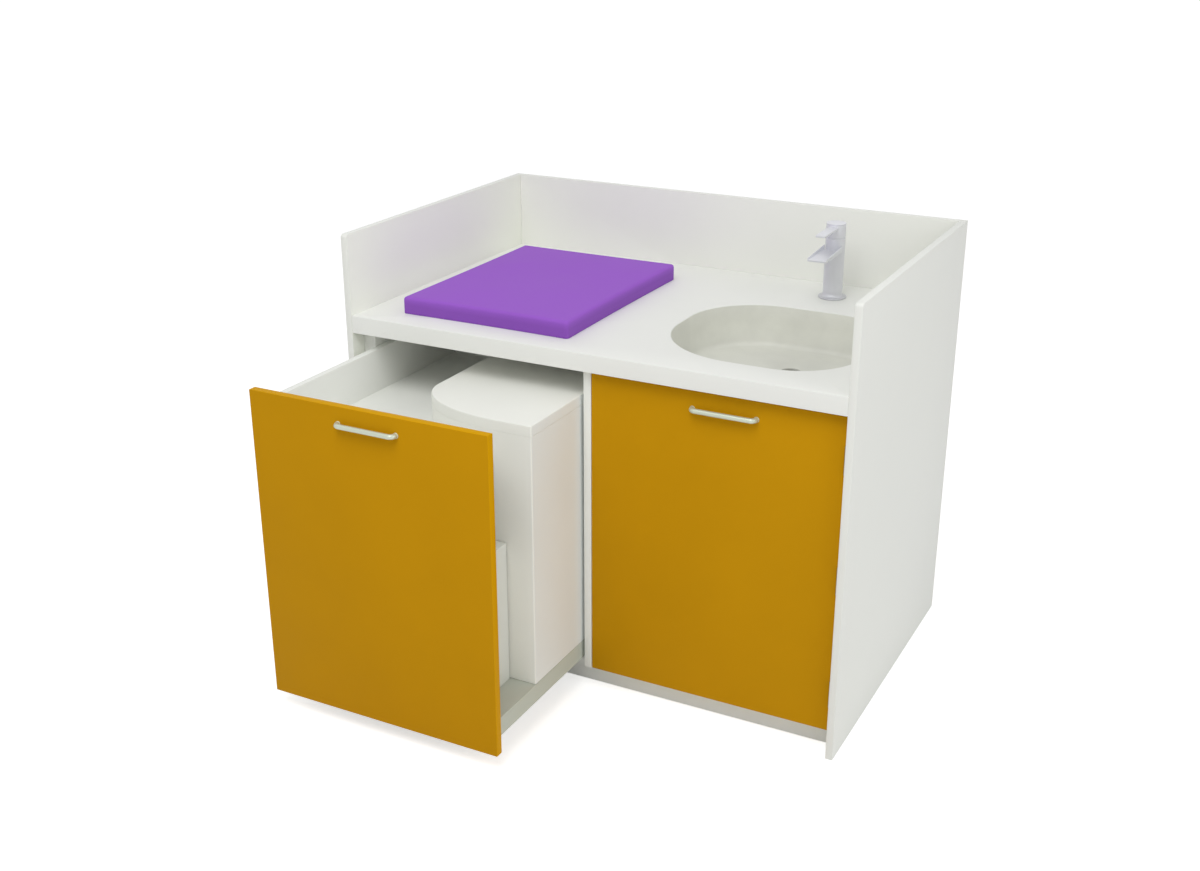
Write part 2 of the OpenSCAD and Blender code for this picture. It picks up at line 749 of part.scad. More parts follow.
// Plan of the tall bin: a long curve at the front left, square corners elsewhere
module bin_plan(d) {
    n = 24;
    cx = bin_x0 + bin_rx;
    cy = bin_y0 + bin_ry;
    curve = [for (i = [0:n]) let (a = 180 + 90 * i / n)
        [cx + (bin_rx - d) * cos(a), cy + (bin_ry - d) * sin(a)]];
    polygon(concat([[bin_x1 - d, bin_y0 + d], [bin_x1 - d, bin_y0 + bin_d - d],
        [bin_x0 + d, bin_y0 + bin_d - d]], curve));
}

module pullout_tray() color(white) difference() {
    board([tray_x0, pull_back_y, tray_z - tray_t], [pull_in_x1, pull_end_y - pull_side_t, tray_z]);
    place() translate([0, 0, tray_z - tray_t - 1]) linear_extrude(tray_t + 2) bin_plan(-lid_gap);
    board([tray_x1, pull_back_y - 1, tray_z - tray_t - 1],
        [pull_in_x1 + 1, bin_y0 + bin_ry, tray_z + 1]);
}

module tall_bin() color(white) place() difference() {
    translate([0, 0, pull_base_top]) linear_extrude(bin_body_top - pull_base_top) bin_plan(0);
    translate([0, 0, pull_base_top + bin_wall]) linear_extrude(bin_z) bin_plan(bin_wall);
}

module tall_bin_lid() color(white) place() {
    translate([0, 0, bin_body_top + lid_gap]) linear_extrude(lid_h - lid_gap) bin_plan(0);
    translate([0, 0, bin_body_top - lid_spigot]) linear_extrude(lid_spigot + 1) difference() {
        bin_plan(bin_wall + lid_gap);
        bin_plan(2 * bin_wall + lid_gap);
    }
}

module low_bin() color(white) difference() {
    board([low_x0, low_y0, pull_base_top], [low_x1, low_y1, low_body_top]);
    board([low_x0 + bin_wall, low_y0 + bin_wall, pull_base_top + bin_wall],
        [low_x1 - bin_wall, low_y1 - bin_wall, low_bin_z]);
}

module low_bin_lid() color(white) {
    w = bin_wall + lid_gap;
    board([low_x0, low_y0, low_body_top + lid_gap], [low_x1, low_y1, low_bin_z]);
    difference() {
        board([low_x0 + w, low_y0 + w, low_body_top - lid_spigot],
            [low_x1 - w, low_y1 - w, low_body_top + 1]);
        board([low_x0 + 2 * w, low_y0 + 2 * w, low_body_top - lid_spigot - 1],
            [low_x1 - 2 * w, low_y1 - 2 * w, low_body_top + lid_gap]);
    }
}

// Runners

// Open channel with inward lips, along y, standing on z = 0
module channel(w, h, length) translate([-w / 2, 0, 0]) difference() {
    cube([w, length, h]);
    translate([runner_t, -1, runner_t]) cube([w - 2 * runner_t, length + 2, h - 2 * runner_t]);
    translate([runner_t + runner_lip, -1, runner_t])
        cube([w - 2 * runner_t - 2 * runner_lip, length + 2, h]);
}

// Places of the runner screws, from the base panel's top
module runner_screw_places() for (x = runner_x, s = [0:2])
    at([x, runner_y + 40 + s * (runner_len - 80) / 2, base_top]) children();

module runner_fixed() color(metal) difference() {
    for (x = runner_x) at([x, runner_y, base_top]) channel(runner_w, runner_h, runner_len);
    runner_screw_places() translate([0, 0, -1]) cylinder(h = runner_t + 2, r = screw_d + 0.1);
}

module runner_screws() color(metal) runner_screw_places() {
    cylinder(h = runner_t - 0.1, r = screw_d);
    translate([0, 0, -14]) cylinder(h = 15, r = screw_d / 2);
}

module runner_middle() color(metal) for (x = runner_x)
    at([x, runner_y - pull_rest / 2, mid_z]) channel(mid_w, mid_h, runner_len);

module runner_moving() color(metal) for (x = runner_x)
    at([x, runner_y - pull_rest, in_z]) difference() {
        union() {
            translate([-in_w / 2, 0, 0]) cube([in_w, runner_len, in_h]);
            translate([-neck_w / 2, 0, 0]) cube([neck_w, runner_len, neck_top]);
        }
        translate([runner_t - in_w / 2, -1, runner_t])
            cube([in_w - 2 * runner_t, runner_len + 2, in_h - 2 * runner_t]);
        translate([runner_t - neck_w / 2, -1, runner_t])
            cube([neck_w - 2 * runner_t, runner_len + 2, neck_top - 2 * runner_t]);
    }

// Door

module door_panel() color(ochre) difference() {
    board([door_x0, front_y, door_z0], [door_x1, front_back, front_top]);
    at(door_handle_at) handle_holes();
    hinge_pilots(door_x1 - lim, door_x1 + 1);
}

module door_handle() color(metal) at(door_handle_at) bow_handle();

module door_handle_screws() color(metal) at(door_handle_at) handle_screws();

// Leaf of a hinge from x0, set back behind the knuckles, with its screw holes
module leaf_plate(x0) difference() {
    translate([x0, front_y, -hinge_h / 2]) cube([leaf_t, leaf_w, hinge_h]);
    for (s = [-1, 1]) translate([x0 - 1, front_y + leaf_w / 2 + 1, s * hinge_h / 4])
        rotate([0, 90, 0]) cylinder(h = leaf_t + 2, r = 2);
}

// Knuckle from z0 to z1 with the neck that joins it to its leaf
module knuckle(x0, z0, z1) difference() {
    union() {
        translate([pin_x, pin_y, z0]) cylinder(h = z1 - z0, r = knuckle_r);
        translate([x0, pin_y, z0]) cube([leaf_t, front_y - pin_y + 1, z1 - z0]);
    }
    translate([pin_x, pin_y, z0 - 1]) cylinder(h = z1 - z0 + 2, r = pin_r + pin_gap);
}

module hinge_fixed_leaves() color(metal) for (z = hinge_z) at([0, 0, z]) {
    x0 = cab_w - side_t - leaf_t;
    leaf_plate(x0);
    for (s = [-1, 1])
        knuckle(x0, s > 0 ? hinge_h / 6 + knuckle_gap / 2 : -hinge_h / 2,
            s > 0 ? hinge_h / 2 : -hinge_h / 6 - knuckle_gap / 2);
}

module hinge_door_leaves() color(metal) for (z = hinge_z) at([0, 0, z]) {
    leaf_plate(door_x1);
    knuckle(door_x1, -hinge_h / 6 + knuckle_gap / 2, hinge_h / 6 - knuckle_gap / 2);
}

module hinge_pins() color(metal) for (z = hinge_z) at([pin_x, pin_y, z - hinge_h / 2]) {
    cylinder(h = hinge_h, r = pin_r);
    translate([0, 0, hinge_h]) cylinder(h = 1.5, r = knuckle_r);
}

// Countersunk screws of a hinge leaf, pointing along +x or -x
module leaf_screws(x0, dir) for (z = hinge_z, s = [-1, 1])
    at([x0, front_y + leaf_w / 2 + 1, z + s * hinge_h / 4]) rotate([0, dir * 90, 0]) {
        cylinder(h = leaf_t, r = 1.9);
        cylinder(h = lim, r = 1.15);
    }

module hinge_fixed_screws() color(metal) leaf_screws(cab_w - side_t - leaf_t, 1);

module hinge_door_screws() color(metal) leaf_screws(door_x1 + leaf_t, -1);

// Mat

// One corner of the mat's outline and the hollow side after it, drawn in by d:
// q is the quarter turn, c the corner's centre and next the centre after it
function mat_quarter(q, c, next, r, z) = let (
    out = [cos(90 * q + 90), sin(90 * q + 90)], from = c + r * out, to = next + r * out)
    concat(
        [for (i = [0:8]) let (a = 90 * q + 90 * i / 8) [c[0] + r * cos(a), c[1] + r * sin(a), z]],
        [for (i = [1:11]) let (p = from + (to - from) * i / 12 - mat_draw * sin(15 * i) * out)
            [p[0], p[1], z]]);

function mat_ring(d, z) = let (
    r = max(mat_corner - d, 2), w = mat_w / 2 - d - r, h = mat_d / 2 - d - r,
    c = [[w, h], [-w, h], [-w, -h], [w, -h]])
    [for (q = [0:3]) each mat_quarter(q, c[q], c[(q + 1) % 4], r, z)];

// Inset and height of each ring, from the lower edge to the crown
mat_layers = [[2, 0], [0, 2], [0, mat_t - 10], [2, mat_t - 4], [6, mat_t - 1], [12, mat_t],
    [45, mat_t + mat_crown * 0.55], [95, mat_t + mat_crown * 0.88], [150, mat_t + mat_crown]];

module changing_mat() color(purple) at([mat_x + mat_w / 2, mat_y + mat_d / 2, worktop_z]) {
    rings = [for (l = mat_layers) mat_ring(l[0], l[1])];
    n = len(rings[0]);
    m = len(rings);
    points = [for (r = rings) each r];
    sides = [for (j = [0:m - 2], i = [0:n - 1]) let (a = j * n + i, b = j * n + (i + 1) % n)
        each [[a, a + n, b], [b, a + n, b + n]]];
    polyhedron(points, concat([[for (i = [0:n - 1]) i]], sides,
        [[for (i = [n - 1:-1:0]) (m - 1) * n + i]]), convexity = 4);
}

left_side_panel();
right_side_panel();
back_panel();
panel_dowels();
centre_partition();
base_panel_left();
base_panel_right();
plinth();
plinth_rail();
filler_post();
worktop_battens();
worktop();
basin_bowl();
basin_clips();
basin_clip_screws();
waste_flange();
waste_nut();
trap_body();
trap_cup();
trap_outlet();
tap_body();
tap_cartridge();
tap_collar();
tap_lift_pin();
tap_handle();
tap_cap();
tap_shank();
tap_nut();
tap_inlets();
pullout_front();
pullout_handle();
pullout_handle_screws();
pullout_side();
pullout_back();
pullout_base();
pullout_tray();
tall_bin();
tall_bin_lid();
low_bin();
low_bin_lid();
runner_fixed();
runner_screws();
runner_middle();
runner_moving();
door_panel();
door_handle();
door_handle_screws();
hinge_fixed_leaves();
hinge_door_leaves();
hinge_pins();
hinge_fixed_screws();
hinge_door_screws();
changing_mat();
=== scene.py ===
# Changing table with basin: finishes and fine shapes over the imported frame, in metres
import bpy
import bmesh
import math
from mathutils import Matrix, Vector


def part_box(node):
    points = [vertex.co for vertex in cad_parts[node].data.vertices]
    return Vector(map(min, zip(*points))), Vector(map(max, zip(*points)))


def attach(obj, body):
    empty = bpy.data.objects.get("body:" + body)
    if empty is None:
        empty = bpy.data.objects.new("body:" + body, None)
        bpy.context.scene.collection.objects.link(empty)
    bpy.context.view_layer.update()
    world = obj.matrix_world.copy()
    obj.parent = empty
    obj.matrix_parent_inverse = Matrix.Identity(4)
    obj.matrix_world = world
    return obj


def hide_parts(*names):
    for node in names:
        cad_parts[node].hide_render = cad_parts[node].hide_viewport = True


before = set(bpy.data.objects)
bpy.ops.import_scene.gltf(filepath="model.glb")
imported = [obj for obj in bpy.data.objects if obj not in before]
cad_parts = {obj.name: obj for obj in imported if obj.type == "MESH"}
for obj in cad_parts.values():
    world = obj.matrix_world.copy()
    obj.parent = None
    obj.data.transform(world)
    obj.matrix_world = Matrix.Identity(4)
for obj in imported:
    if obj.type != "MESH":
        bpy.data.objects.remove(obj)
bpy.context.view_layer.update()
scene = bpy.context.scene
mm = 0.001


# Camera

view = {
    "position": (1.3616, -2.727, 1.757),
    "pitchDown": 21.436,  # degrees
    "turn": 27.445,
    "lens": 43.456,
    "sensor": 36.0,
    "reach": 50,
}


def makeCamera():
    data = bpy.data.cameras.new("camera")
    data.lens = view["lens"]
    data.sensor_width = view["sensor"]
    data.clip_end = view["reach"]
    camera = bpy.data.objects.new("camera", data)
    camera.location = view["position"]
    camera.rotation_euler = (math.radians(90 - view["pitchDown"]), 0, math.radians(view["turn"]))
    scene.collection.objects.link(camera)
    scene.camera = camera


makeCamera()
print("camera placed")


# Node groups and materials

number, vector, color = "NodeSocketFloat", "NodeSocketVector", "NodeSocketColor"


def connect(tree, node, sockets):  # each socket takes a value or another node's output
    for key, value in sockets.items():
        if isinstance(value, bpy.types.NodeSocket):
            tree.links.new(value, node.inputs[key])
        else:
            node.inputs[key].default_value = value


def addNode(tree, kind, sockets=None, **settings):
    node = tree.nodes.new("ShaderNode" + kind)
    for key, value in settings.items():
        setattr(node, key, value)
    connect(tree, node, sockets or {})
    return node


def addMath(tree, operation, first, second):
    return addNode(tree, "Math", {0: first, 1: second}, operation=operation).outputs[0]


def addRange(tree, value, fromMin=0.0, fromMax=1.0, toMin=0.0, toMax=1.0):
    return addNode(tree, "MapRange", {"Value": value, "From Min": fromMin, "From Max": fromMax,
                                      "To Min": toMin, "To Max": toMax}).outputs["Result"]


def objectPlace(tree):
    return addNode(tree, "TexCoord").outputs["Object"]


def newGroup(name, inputs, outputs):  # inputs: label, kind, first value; outputs: label, kind
    group = bpy.data.node_groups.new(name, "ShaderNodeTree")
    for label, kind, value in inputs:
        group.interface.new_socket(label, in_out="INPUT", socket_type=kind).default_value = value
    for label, kind in outputs:
        group.interface.new_socket(label, in_out="OUTPUT", socket_type=kind)
    return group, group.nodes.new("NodeGroupInput").outputs, group.nodes.new("NodeGroupOutput")


def cloudGroup():  # soft patches that darken a colour a little
    group, given, end = newGroup(
        "cloudyTone",
        [("Color", color, (0.8, 0.8, 0.8, 1)), ("Scale", number, 3.0), ("Amount", number, 0.05)],
        [("Color", color), ("Mask", number)])
    noise = addNode(group, "TexNoise", {"Vector": objectPlace(group), "Scale": given["Scale"], "Detail": 5,
                                        "Roughness": 0.55}).outputs["Fac"]
    spread = addRange(group, noise, fromMin=0.32, fromMax=0.68)
    shade = addRange(group, spread, toMin=addMath(group, "SUBTRACT", 1.0, given["Amount"]))
    tint = addNode(group, "VectorMath", {0: given["Color"], "Scale": shade}, operation="SCALE").outputs[0]
    connect(group, end, {"Color": tint, "Mask": spread})
    return group


def grainGroup():  # fine moulded or pressed grain, as a height
    group, given, end = newGroup(
        "fineGrain", [("Scale", number, 900.0), ("Coarse", number, 0.3)], [("Height", number)])
    place = objectPlace(group)
    fine = addNode(group, "TexNoise", {"Vector": place, "Scale": given["Scale"], "Detail": 2}).outputs["Fac"]
    wider = addMath(group, "MULTIPLY", given["Scale"], 0.18)
    broad = addNode(group, "TexNoise", {"Vector": place, "Scale": wider, "Detail": 2}).outputs["Fac"]
    mix = addNode(group, "Mix", {0: given["Coarse"], 2: fine, 3: broad})  # 2 and 3 are the numbers
    connect(group, end, {"Height": mix.outputs[0]})
    return group


def scuffGroup():  # sparse hairline rubs, as a mask
    group, given, end = newGroup(
        "hairScuffs", [("Scale", number, 14.0), ("Density", number, 0.3)], [("Mask", number)])
    place = objectPlace(group)
    bend = addNode(group, "TexNoise", {"Vector": place, "Scale": 6}).outputs["Color"]
    shift = addNode(group, "Mix", {0: 0.12, 4: place, 5: bend}, data_type="VECTOR")  # 4 and 5 the vectors
    lines = addNode(group, "TexVoronoi", {"Vector": shift.outputs[1], "Scale": given["Scale"]},
                    feature="DISTANCE_TO_EDGE").outputs["Distance"]
    thin = addRange(group, lines, fromMax=0.006, toMin=1.0, toMax=0.0)
    patch = addNode(group, "TexNoise", {"Vector": place, "Scale": 3.3}).outputs["Fac"]
    rare = addMath(group, "SUBTRACT", 0.85, given["Density"])
    cut = addMath(group, "GREATER_THAN", patch, rare)
    connect(group, end, {"Mask": addMath(group, "MULTIPLY", thin, cut)})
    return group


def brushedGroup():  # fine streaks along one axis, as a height
    group, given, end = newGroup(
        "brushedStreaks", [("Stretch", vector, (1, 1, 1)), ("Scale", number, 300.0)], [("Height", number)])
    pull = addNode(group, "VectorMath", {0: objectPlace(group), 1: given["Stretch"]}, operation="MULTIPLY")
    noise = addNode(group, "TexNoise", {"Vector": pull.outputs[0], "Scale": given["Scale"], "Detail": 3})
    connect(group, end, {"Height": noise.outputs["Fac"]})
    return group


cloudyTone = cloudGroup()
fineGrain = grainGroup()
hairScuffs = scuffGroup()
brushedStreaks = brushedGroup()

plainLook = {  # what a finish has unless its own entry says otherwise
    "metal": 0.0,
    "specular": 0.5,
    "coat": 0.0,
    "coatRoughness": 0.1,
    "sheen": 0.0,
    "sheenRoughness": 0.4,
    "roughSpread": 0.04,
    "cloudScale": 3.0,
    "scuffScale": 12.0,
    "scuffStrength": 0.25,
    "coarse": 0.3,
    "bumpHeight": 0.4 * mm,
}


def finish(name, look):  # a coated or moulded surface: tone, faint rubs, grain and, where given, painted shade towards the lower edge
    look = {**plainLook, **look}
    material = bpy.data.materials.new(name)
    material.use_nodes = True
    tree = material.node_tree
    tone = addNode(tree, "Group", {"Color": (*look["color"], 1), "Scale": look["cloudScale"],
                                   "Amount": look["cloud"]}, node_tree=cloudyTone)
    colour = tone.outputs["Color"]
    if "scuff" in look:
        rubs = addNode(tree, "Group", {"Scale": look["scuffScale"], "Density": look["scuff"]},
                       node_tree=hairScuffs)
        faint = addMath(tree, "MULTIPLY", rubs.outputs["Mask"], look["scuffStrength"])
        mix = addNode(tree, "Mix",  # 6 and 7 are the colours
                      {0: faint, 6: colour, 7: (*look["scuffColor"], 1)}, data_type="RGBA")
        colour = mix.outputs[2]
    if "paintedLowShade" in look:  # painted shade, deeper towards the lower edge: two heights and the share left there
        low, high, share = look["paintedLowShade"]
        height = addNode(tree, "SeparateXYZ", {0: objectPlace(tree)}).outputs["Z"]
        level = addRange(tree, height, fromMin=low, fromMax=high, toMin=share)
        colour = addNode(tree, "VectorMath", {0: colour, "Scale": level}, operation="SCALE").outputs[0]
    rough = addRange(tree, tone.outputs["Mask"], toMin=look["roughness"] - look["roughSpread"],
                     toMax=look["roughness"] + look["roughSpread"])
    if "brush" in look:
        relief = addNode(tree, "Group", {"Stretch": look["brush"], "Scale": look["grainScale"]},
                         node_tree=brushedStreaks)
    else:
        relief = addNode(tree, "Group", {"Scale": look["grainScale"], "Coarse": look["coarse"]},
                         node_tree=fineGrain)
    bump = addNode(tree, "Bump", {"Height": relief.outputs["Height"], "Strength": look["bump"],
                                  "Distance": look["bumpHeight"]})
    connect(tree, tree.nodes["Principled BSDF"], {
        "Base Color": colour,
        "Roughness": rough,
        "Normal": bump.outputs["Normal"],
        "Metallic": look["metal"],
        "Specular IOR Level": look["specular"],
        "Coat Weight": look["coat"],
        "Coat Roughness": look["coatRoughness"],
        "Sheen Weight": look["sheen"],
        "Sheen Roughness": look["sheenRoughness"],
    })
    return material


melamine = {"roughness": 0.55, "specular": 0.25, "cloud": 0.02, "cloudScale": 2.5, "grainScale": 1400,
            "bump": 0.08, "scuff": 0.12, "scuffColor": (0.68, 0.68, 0.64)}
binShell = {"roughness": 0.5, "specular": 0.25, "cloud": 0.025, "cloudScale": 5, "grainScale": 1600,
            "bump": 0.12, "coarse": 0.2}
looks = {
    "whiteBoard": {**melamine, "color": (0.875, 0.885, 0.84)},
    # painted light: a lighter, greener copy of the white board for the left panel's inner face, against its
    # shade and the mat's lilac bounce
    "guardFacePaintedLight": {**melamine, "color": (0.925, 0.942, 0.862), "scuffColor": (0.70, 0.70, 0.65)},
    # painted shade: a darker copy of the white board for the back panel's front face
    "backGuardPaintedShade": {**melamine, "color": (0.865, 0.873, 0.822)},
    "whiteEdge": {"color": (0.875, 0.885, 0.84), "roughness": 0.48, "specular": 0.25, "cloud": 0.015,
                  "grainScale": 600, "bump": 0.05},
    "worktopLaminate": {"color": (0.885, 0.893, 0.855), "roughness": 0.48, "specular": 0.25, "cloud": 0.02,
                        "cloudScale": 4, "grainScale": 1100, "bump": 0.06, "scuff": 0.16,
                        "scuffColor": (0.70, 0.70, 0.66)},
    "ochreBoard": {"color": (0.59, 0.29, 0.0035), "roughness": 0.5, "specular": 0.03, "cloud": 0.045,
                   "cloudScale": 5, "grainScale": 1300, "bump": 0.1, "scuff": 0.1,
                   "scuffColor": (0.66, 0.38, 0.05)},
    "ochreEdge": {"color": (0.70, 0.36, 0.003), "roughness": 0.5, "specular": 0.03, "cloud": 0.02,
                  "grainScale": 600, "bump": 0.05},
    "greyBoard": {"color": (0.53, 0.55, 0.485), "roughness": 0.65, "specular": 0.2, "cloud": 0.05,
                  "cloudScale": 6, "grainScale": 900, "bump": 0.14},
    "greyEdge": {"color": (0.58, 0.625, 0.555), "roughness": 0.6, "specular": 0.2, "cloud": 0.03,
                 "cloudScale": 6, "grainScale": 600, "bump": 0.08},
    # painted light and shade: copies of one bin plastic, the tall bin's lightened under the worktop's shade,
    # the low bin's darkened where it stands more lit
    "tallBinPlasticPaintedLight": {**binShell, "color": (0.90, 0.905, 0.85)},
    "lowBinPlasticPaintedShade": {**binShell, "color": (0.77, 0.78, 0.72)},
    # painted light: a bluer copy of the bin plastic for the tall bin's and lid's right faces, cancelling the
    # orange light bounced from the door
    "binSidePaintedLight": {**binShell, "color": (0.848, 0.886, 0.872)},
    # painted shade: the basin is darker than the worktop, and deeper again towards its floor
    "basinWhitePaintedShade": {"color": (0.825, 0.83, 0.76), "roughness": 0.35, "specular": 0.3, "roughSpread": 0.08,
                   "cloud": 0.12, "cloudScale": 9, "grainScale": 500, "bump": 0.03, "coat": 0.1,
                   "paintedLowShade": (0.716, 0.762, 0.89)},
    # painted shade: the tap is darker towards its foot on the worktop
    "tapMetal": {"color": (0.755, 0.76, 0.80), "metal": 0.35, "roughness": 0.42, "cloud": 0.03,
                 "cloudScale": 20, "grainScale": 2200, "bump": 0.05, "paintedLowShade": (0.815, 0.835, 0.86)},
    # painted shade: a darker metal for the waste and its strainer, standing in for the drain's shade
    "drainMetalPaintedShade": {"color": (0.42, 0.42, 0.38), "metal": 0.3, "roughness": 0.5, "cloud": 0.1,
                   "cloudScale": 40, "grainScale": 2200, "bump": 0.05},
    "handleMetal": {"color": (0.61, 0.665, 0.55), "metal": 0.35, "roughness": 0.36, "cloud": 0.03,
                    "cloudScale": 20, "brush": (0.05, 1, 1), "grainScale": 1800, "bump": 0.06},
    "zincSteel": {"color": (0.50, 0.50, 0.49), "metal": 1.0, "roughness": 0.4, "cloud": 0.18,
                  "cloudScale": 60, "brush": (1, 0.04, 1), "grainScale": 900, "bump": 0.08},
    "trapPlastic": {"color": (0.76, 0.76, 0.74), "roughness": 0.3, "cloud": 0.02, "cloudScale": 12,
                    "grainScale": 800, "bump": 0.04},
    "darkPlastic": {"color": (0.03, 0.03, 0.032), "roughness": 0.5, "cloud": 0.1, "cloudScale": 30,
                    "grainScale": 1600, "bump": 0.1},
    "copperPipe": {"color": (0.72, 0.38, 0.25), "metal": 1.0, "roughness": 0.3, "cloud": 0.15,
                   "cloudScale": 30, "brush": (1, 1, 0.05), "grainScale": 1500, "bump": 0.05},
    "dowelWood": {"color": (0.62, 0.45, 0.27), "roughness": 0.65, "cloud": 0.2, "cloudScale": 40,
                  "brush": (0.05, 1, 1), "grainScale": 1200, "bump": 0.3},
    # painted shade: the mat's sides are darker towards their foot
    "matCover": {"color": (0.345, 0.118, 0.63), "roughness": 0.6, "specular": 0.08, "cloud": 0.03,
                 "cloudScale": 6, "grainScale": 700, "coarse": 0.5, "bump": 0.22, "sheen": 0.03,
                 "paintedLowShade": (0.834, 0.852, 0.78)},
}
materials = {name: finish(name, look) for name, look in looks.items()}
print("materials made:", len(materials))


# Shape helpers

ringSteps = 20  # of each rounded corner of a level ring
touching = 1e-6  # points nearer than this are one
apart = 0.2 * mm  # between the heights of two rings that bridge into a flat face
facing = 0.7  # share of a face's normal along an axis, past which the face looks that way
turning = 1.0  # radians between two faces, past which their edge is sharp


def makePiece(name, bm, body, finishes, replacing, smoothUpTo=35):
    bmesh.ops.recalc_face_normals(bm, faces=bm.faces[:])
    if bm.calc_volume(signed=True) < 0:
        bmesh.ops.reverse_faces(bm, faces=bm.faces[:])
    mesh = bpy.data.meshes.new(name)
    bm.to_mesh(mesh)
    bm.free()
    for label in finishes:
        mesh.materials.append(materials[label])
    mesh.shade_smooth()
    mesh.set_sharp_from_angle(angle=math.radians(smoothUpTo))
    piece = bpy.data.objects.new(name, mesh)
    scene.collection.objects.link(piece)
    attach(piece, body)
    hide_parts(*replacing)
    return piece


def skinNode(node, bm, body, finishes, smoothUpTo=35):  # a finer shape for one CAD node
    makePiece("skin_" + node, bm, body, finishes, [node], smoothUpTo)


def edgesOf(verts):  # each once, in an order that is the same on every run
    return list(dict.fromkeys(e for v in verts for e in v.link_edges))


def facesOf(verts):
    return list(dict.fromkeys(f for v in verts for f in v.link_faces))


def vertsIn(geometry):
    return [g for g in geometry if isinstance(g, bmesh.types.BMVert)]


def edgesIn(geometry):
    return [g for g in geometry if isinstance(g, bmesh.types.BMEdge)]


def vertsSince(bm, known):
    return [v for v in bm.verts if v not in known]


def sharpEdges(edges):
    return [e for e in edges if e.calc_face_angle(0) > turning]


def bevelEdges(bm, edges, width, segments):
    bmesh.ops.bevel(bm, geom=edges, offset=width, offset_type="OFFSET", segments=segments,
                    profile=0.5, affect="EDGES", material=-1, clamp_overlap=True)


def roundCorners(bm, corners, radius, segments):  # of a level sheet
    bmesh.ops.bevel(bm, geom=corners, offset=radius, offset_type="OFFSET", segments=segments,
                    profile=0.5, affect="VERTICES", material=-1)


def cutAcross(bm, spot, normal):
    bmesh.ops.bisect_plane(bm, geom=bm.verts[:] + bm.edges[:] + bm.faces[:],
                           plane_co=spot, plane_no=normal)


def putAt(bm, verts, spot, angle):  # turned round the x axis, then moved
    bmesh.ops.transform(bm, verts=verts,
                        matrix=Matrix.Translation(spot) @ Matrix.Rotation(angle, 4, "X"))


def addBox(bm, low, high):
    made = bmesh.ops.create_cube(bm, size=1.0)["verts"]
    bmesh.ops.scale(bm, vec=[b - a for a, b in zip(low, high)], verts=made)
    bmesh.ops.translate(bm, vec=[(a + b) / 2 for a, b in zip(low, high)], verts=made)
    return made


def roundedRing(bm, low, high, height, radii):  # level outline, radii: left front, left back, right
    known = set(bm.verts)
    made = bmesh.ops.create_grid(bm, x_segments=1, y_segments=1, size=0.5)["verts"]
    bmesh.ops.scale(bm, vec=(high[0] - low[0], high[1] - low[1], 1), verts=made)
    centre = ((low[0] + high[0]) / 2, (low[1] + high[1]) / 2, height)
    bmesh.ops.translate(bm, vec=centre, verts=made)
    left = sorted((v for v in made if v.co.x < centre[0]), key=lambda v: v.co.y)
    right = [v for v in made if v.co.x >= centre[0]]
    for corners, radius in zip((left[:1], left[1:], right), radii):
        roundCorners(bm, corners, radius, ringSteps)
    verts = vertsSince(bm, known)
    bmesh.ops.delete(bm, geom=facesOf(verts), context="FACES_ONLY")
    return edgesOf(verts)


def circleRing(bm, centre, radius, height, sides):
    made = bmesh.ops.create_circle(bm, cap_ends=False, segments=sides, radius=radius)["verts"]
    bmesh.ops.translate(bm, vec=(centre[0], centre[1], height), verts=made)
    return edgesOf(made)


def roundOver(*angles):  # for each angle in degrees: shares of a radius, down and inwards from its corner
    turns = [math.radians(a) for a in angles]
    return [(1 - math.sin(turn), 1 - math.cos(turn)) for turn in turns]


def bridge(bm, rings):
    for first, second in zip(rings, rings[1:]):
        bmesh.ops.bridge_loops(bm, edges=first + second)


def bridgeClosed(bm, rings):  # with a flat face at each end
    bridge(bm, rings)
    bmesh.ops.edgeloop_fill(bm, edges=rings[0])
    bmesh.ops.edgeloop_fill(bm, edges=rings[-1])


def fillFlat(bm, edges):
    bmesh.ops.triangle_fill(bm, use_beauty=True, use_dissolve=False, edges=edges)


def thicken(bm, rise):  # a flat sheet into a plate
    grown = bmesh.ops.extrude_face_region(bm, geom=bm.faces[:])["geom"]
    bmesh.ops.translate(bm, vec=(0, 0, rise), verts=vertsIn(grown))


def spunProfile(bm, centre, points, steps=64):  # points: radius and height, joined in order
    verts = [bm.verts.new((centre[0] + r, centre[1], z)) for r, z in points]
    edges = [bm.edges.new(pair) for pair in zip(verts, verts[1:])
             if any(v.co.x > centre[0] for v in pair)]  # none along the axis
    bmesh.ops.spin(bm, geom=verts + edges, cent=(centre[0], centre[1], 0), axis=(0, 0, 1),
                   angle=math.tau, steps=steps, use_merge=True, use_duplicate=False)
    bmesh.ops.remove_doubles(bm, verts=bm.verts[:], dist=touching)


def arc(centre, radius, start, stop, steps=6):  # points of an arc, in degrees
    turns = [math.radians(start + (stop - start) * i / steps) for i in range(steps + 1)]
    return [(centre[0] + radius * math.cos(t), centre[1] + radius * math.sin(t)) for t in turns]


# Boards

board = {
    "edge": 1.0 * mm,
    "edgeSegments": 2,
    "nose": 8 * mm,  # of a side panel's top front corner
    "noseSegments": 6,
    "pipeHole": 34 * mm,  # radius
    "pipeHoleSides": 48,
}

battens = {
    "depth": 20 * mm,
    "behindDoor": 1 * mm,
    "edge": 0.8 * mm,
    "edgeSegments": 2,
}


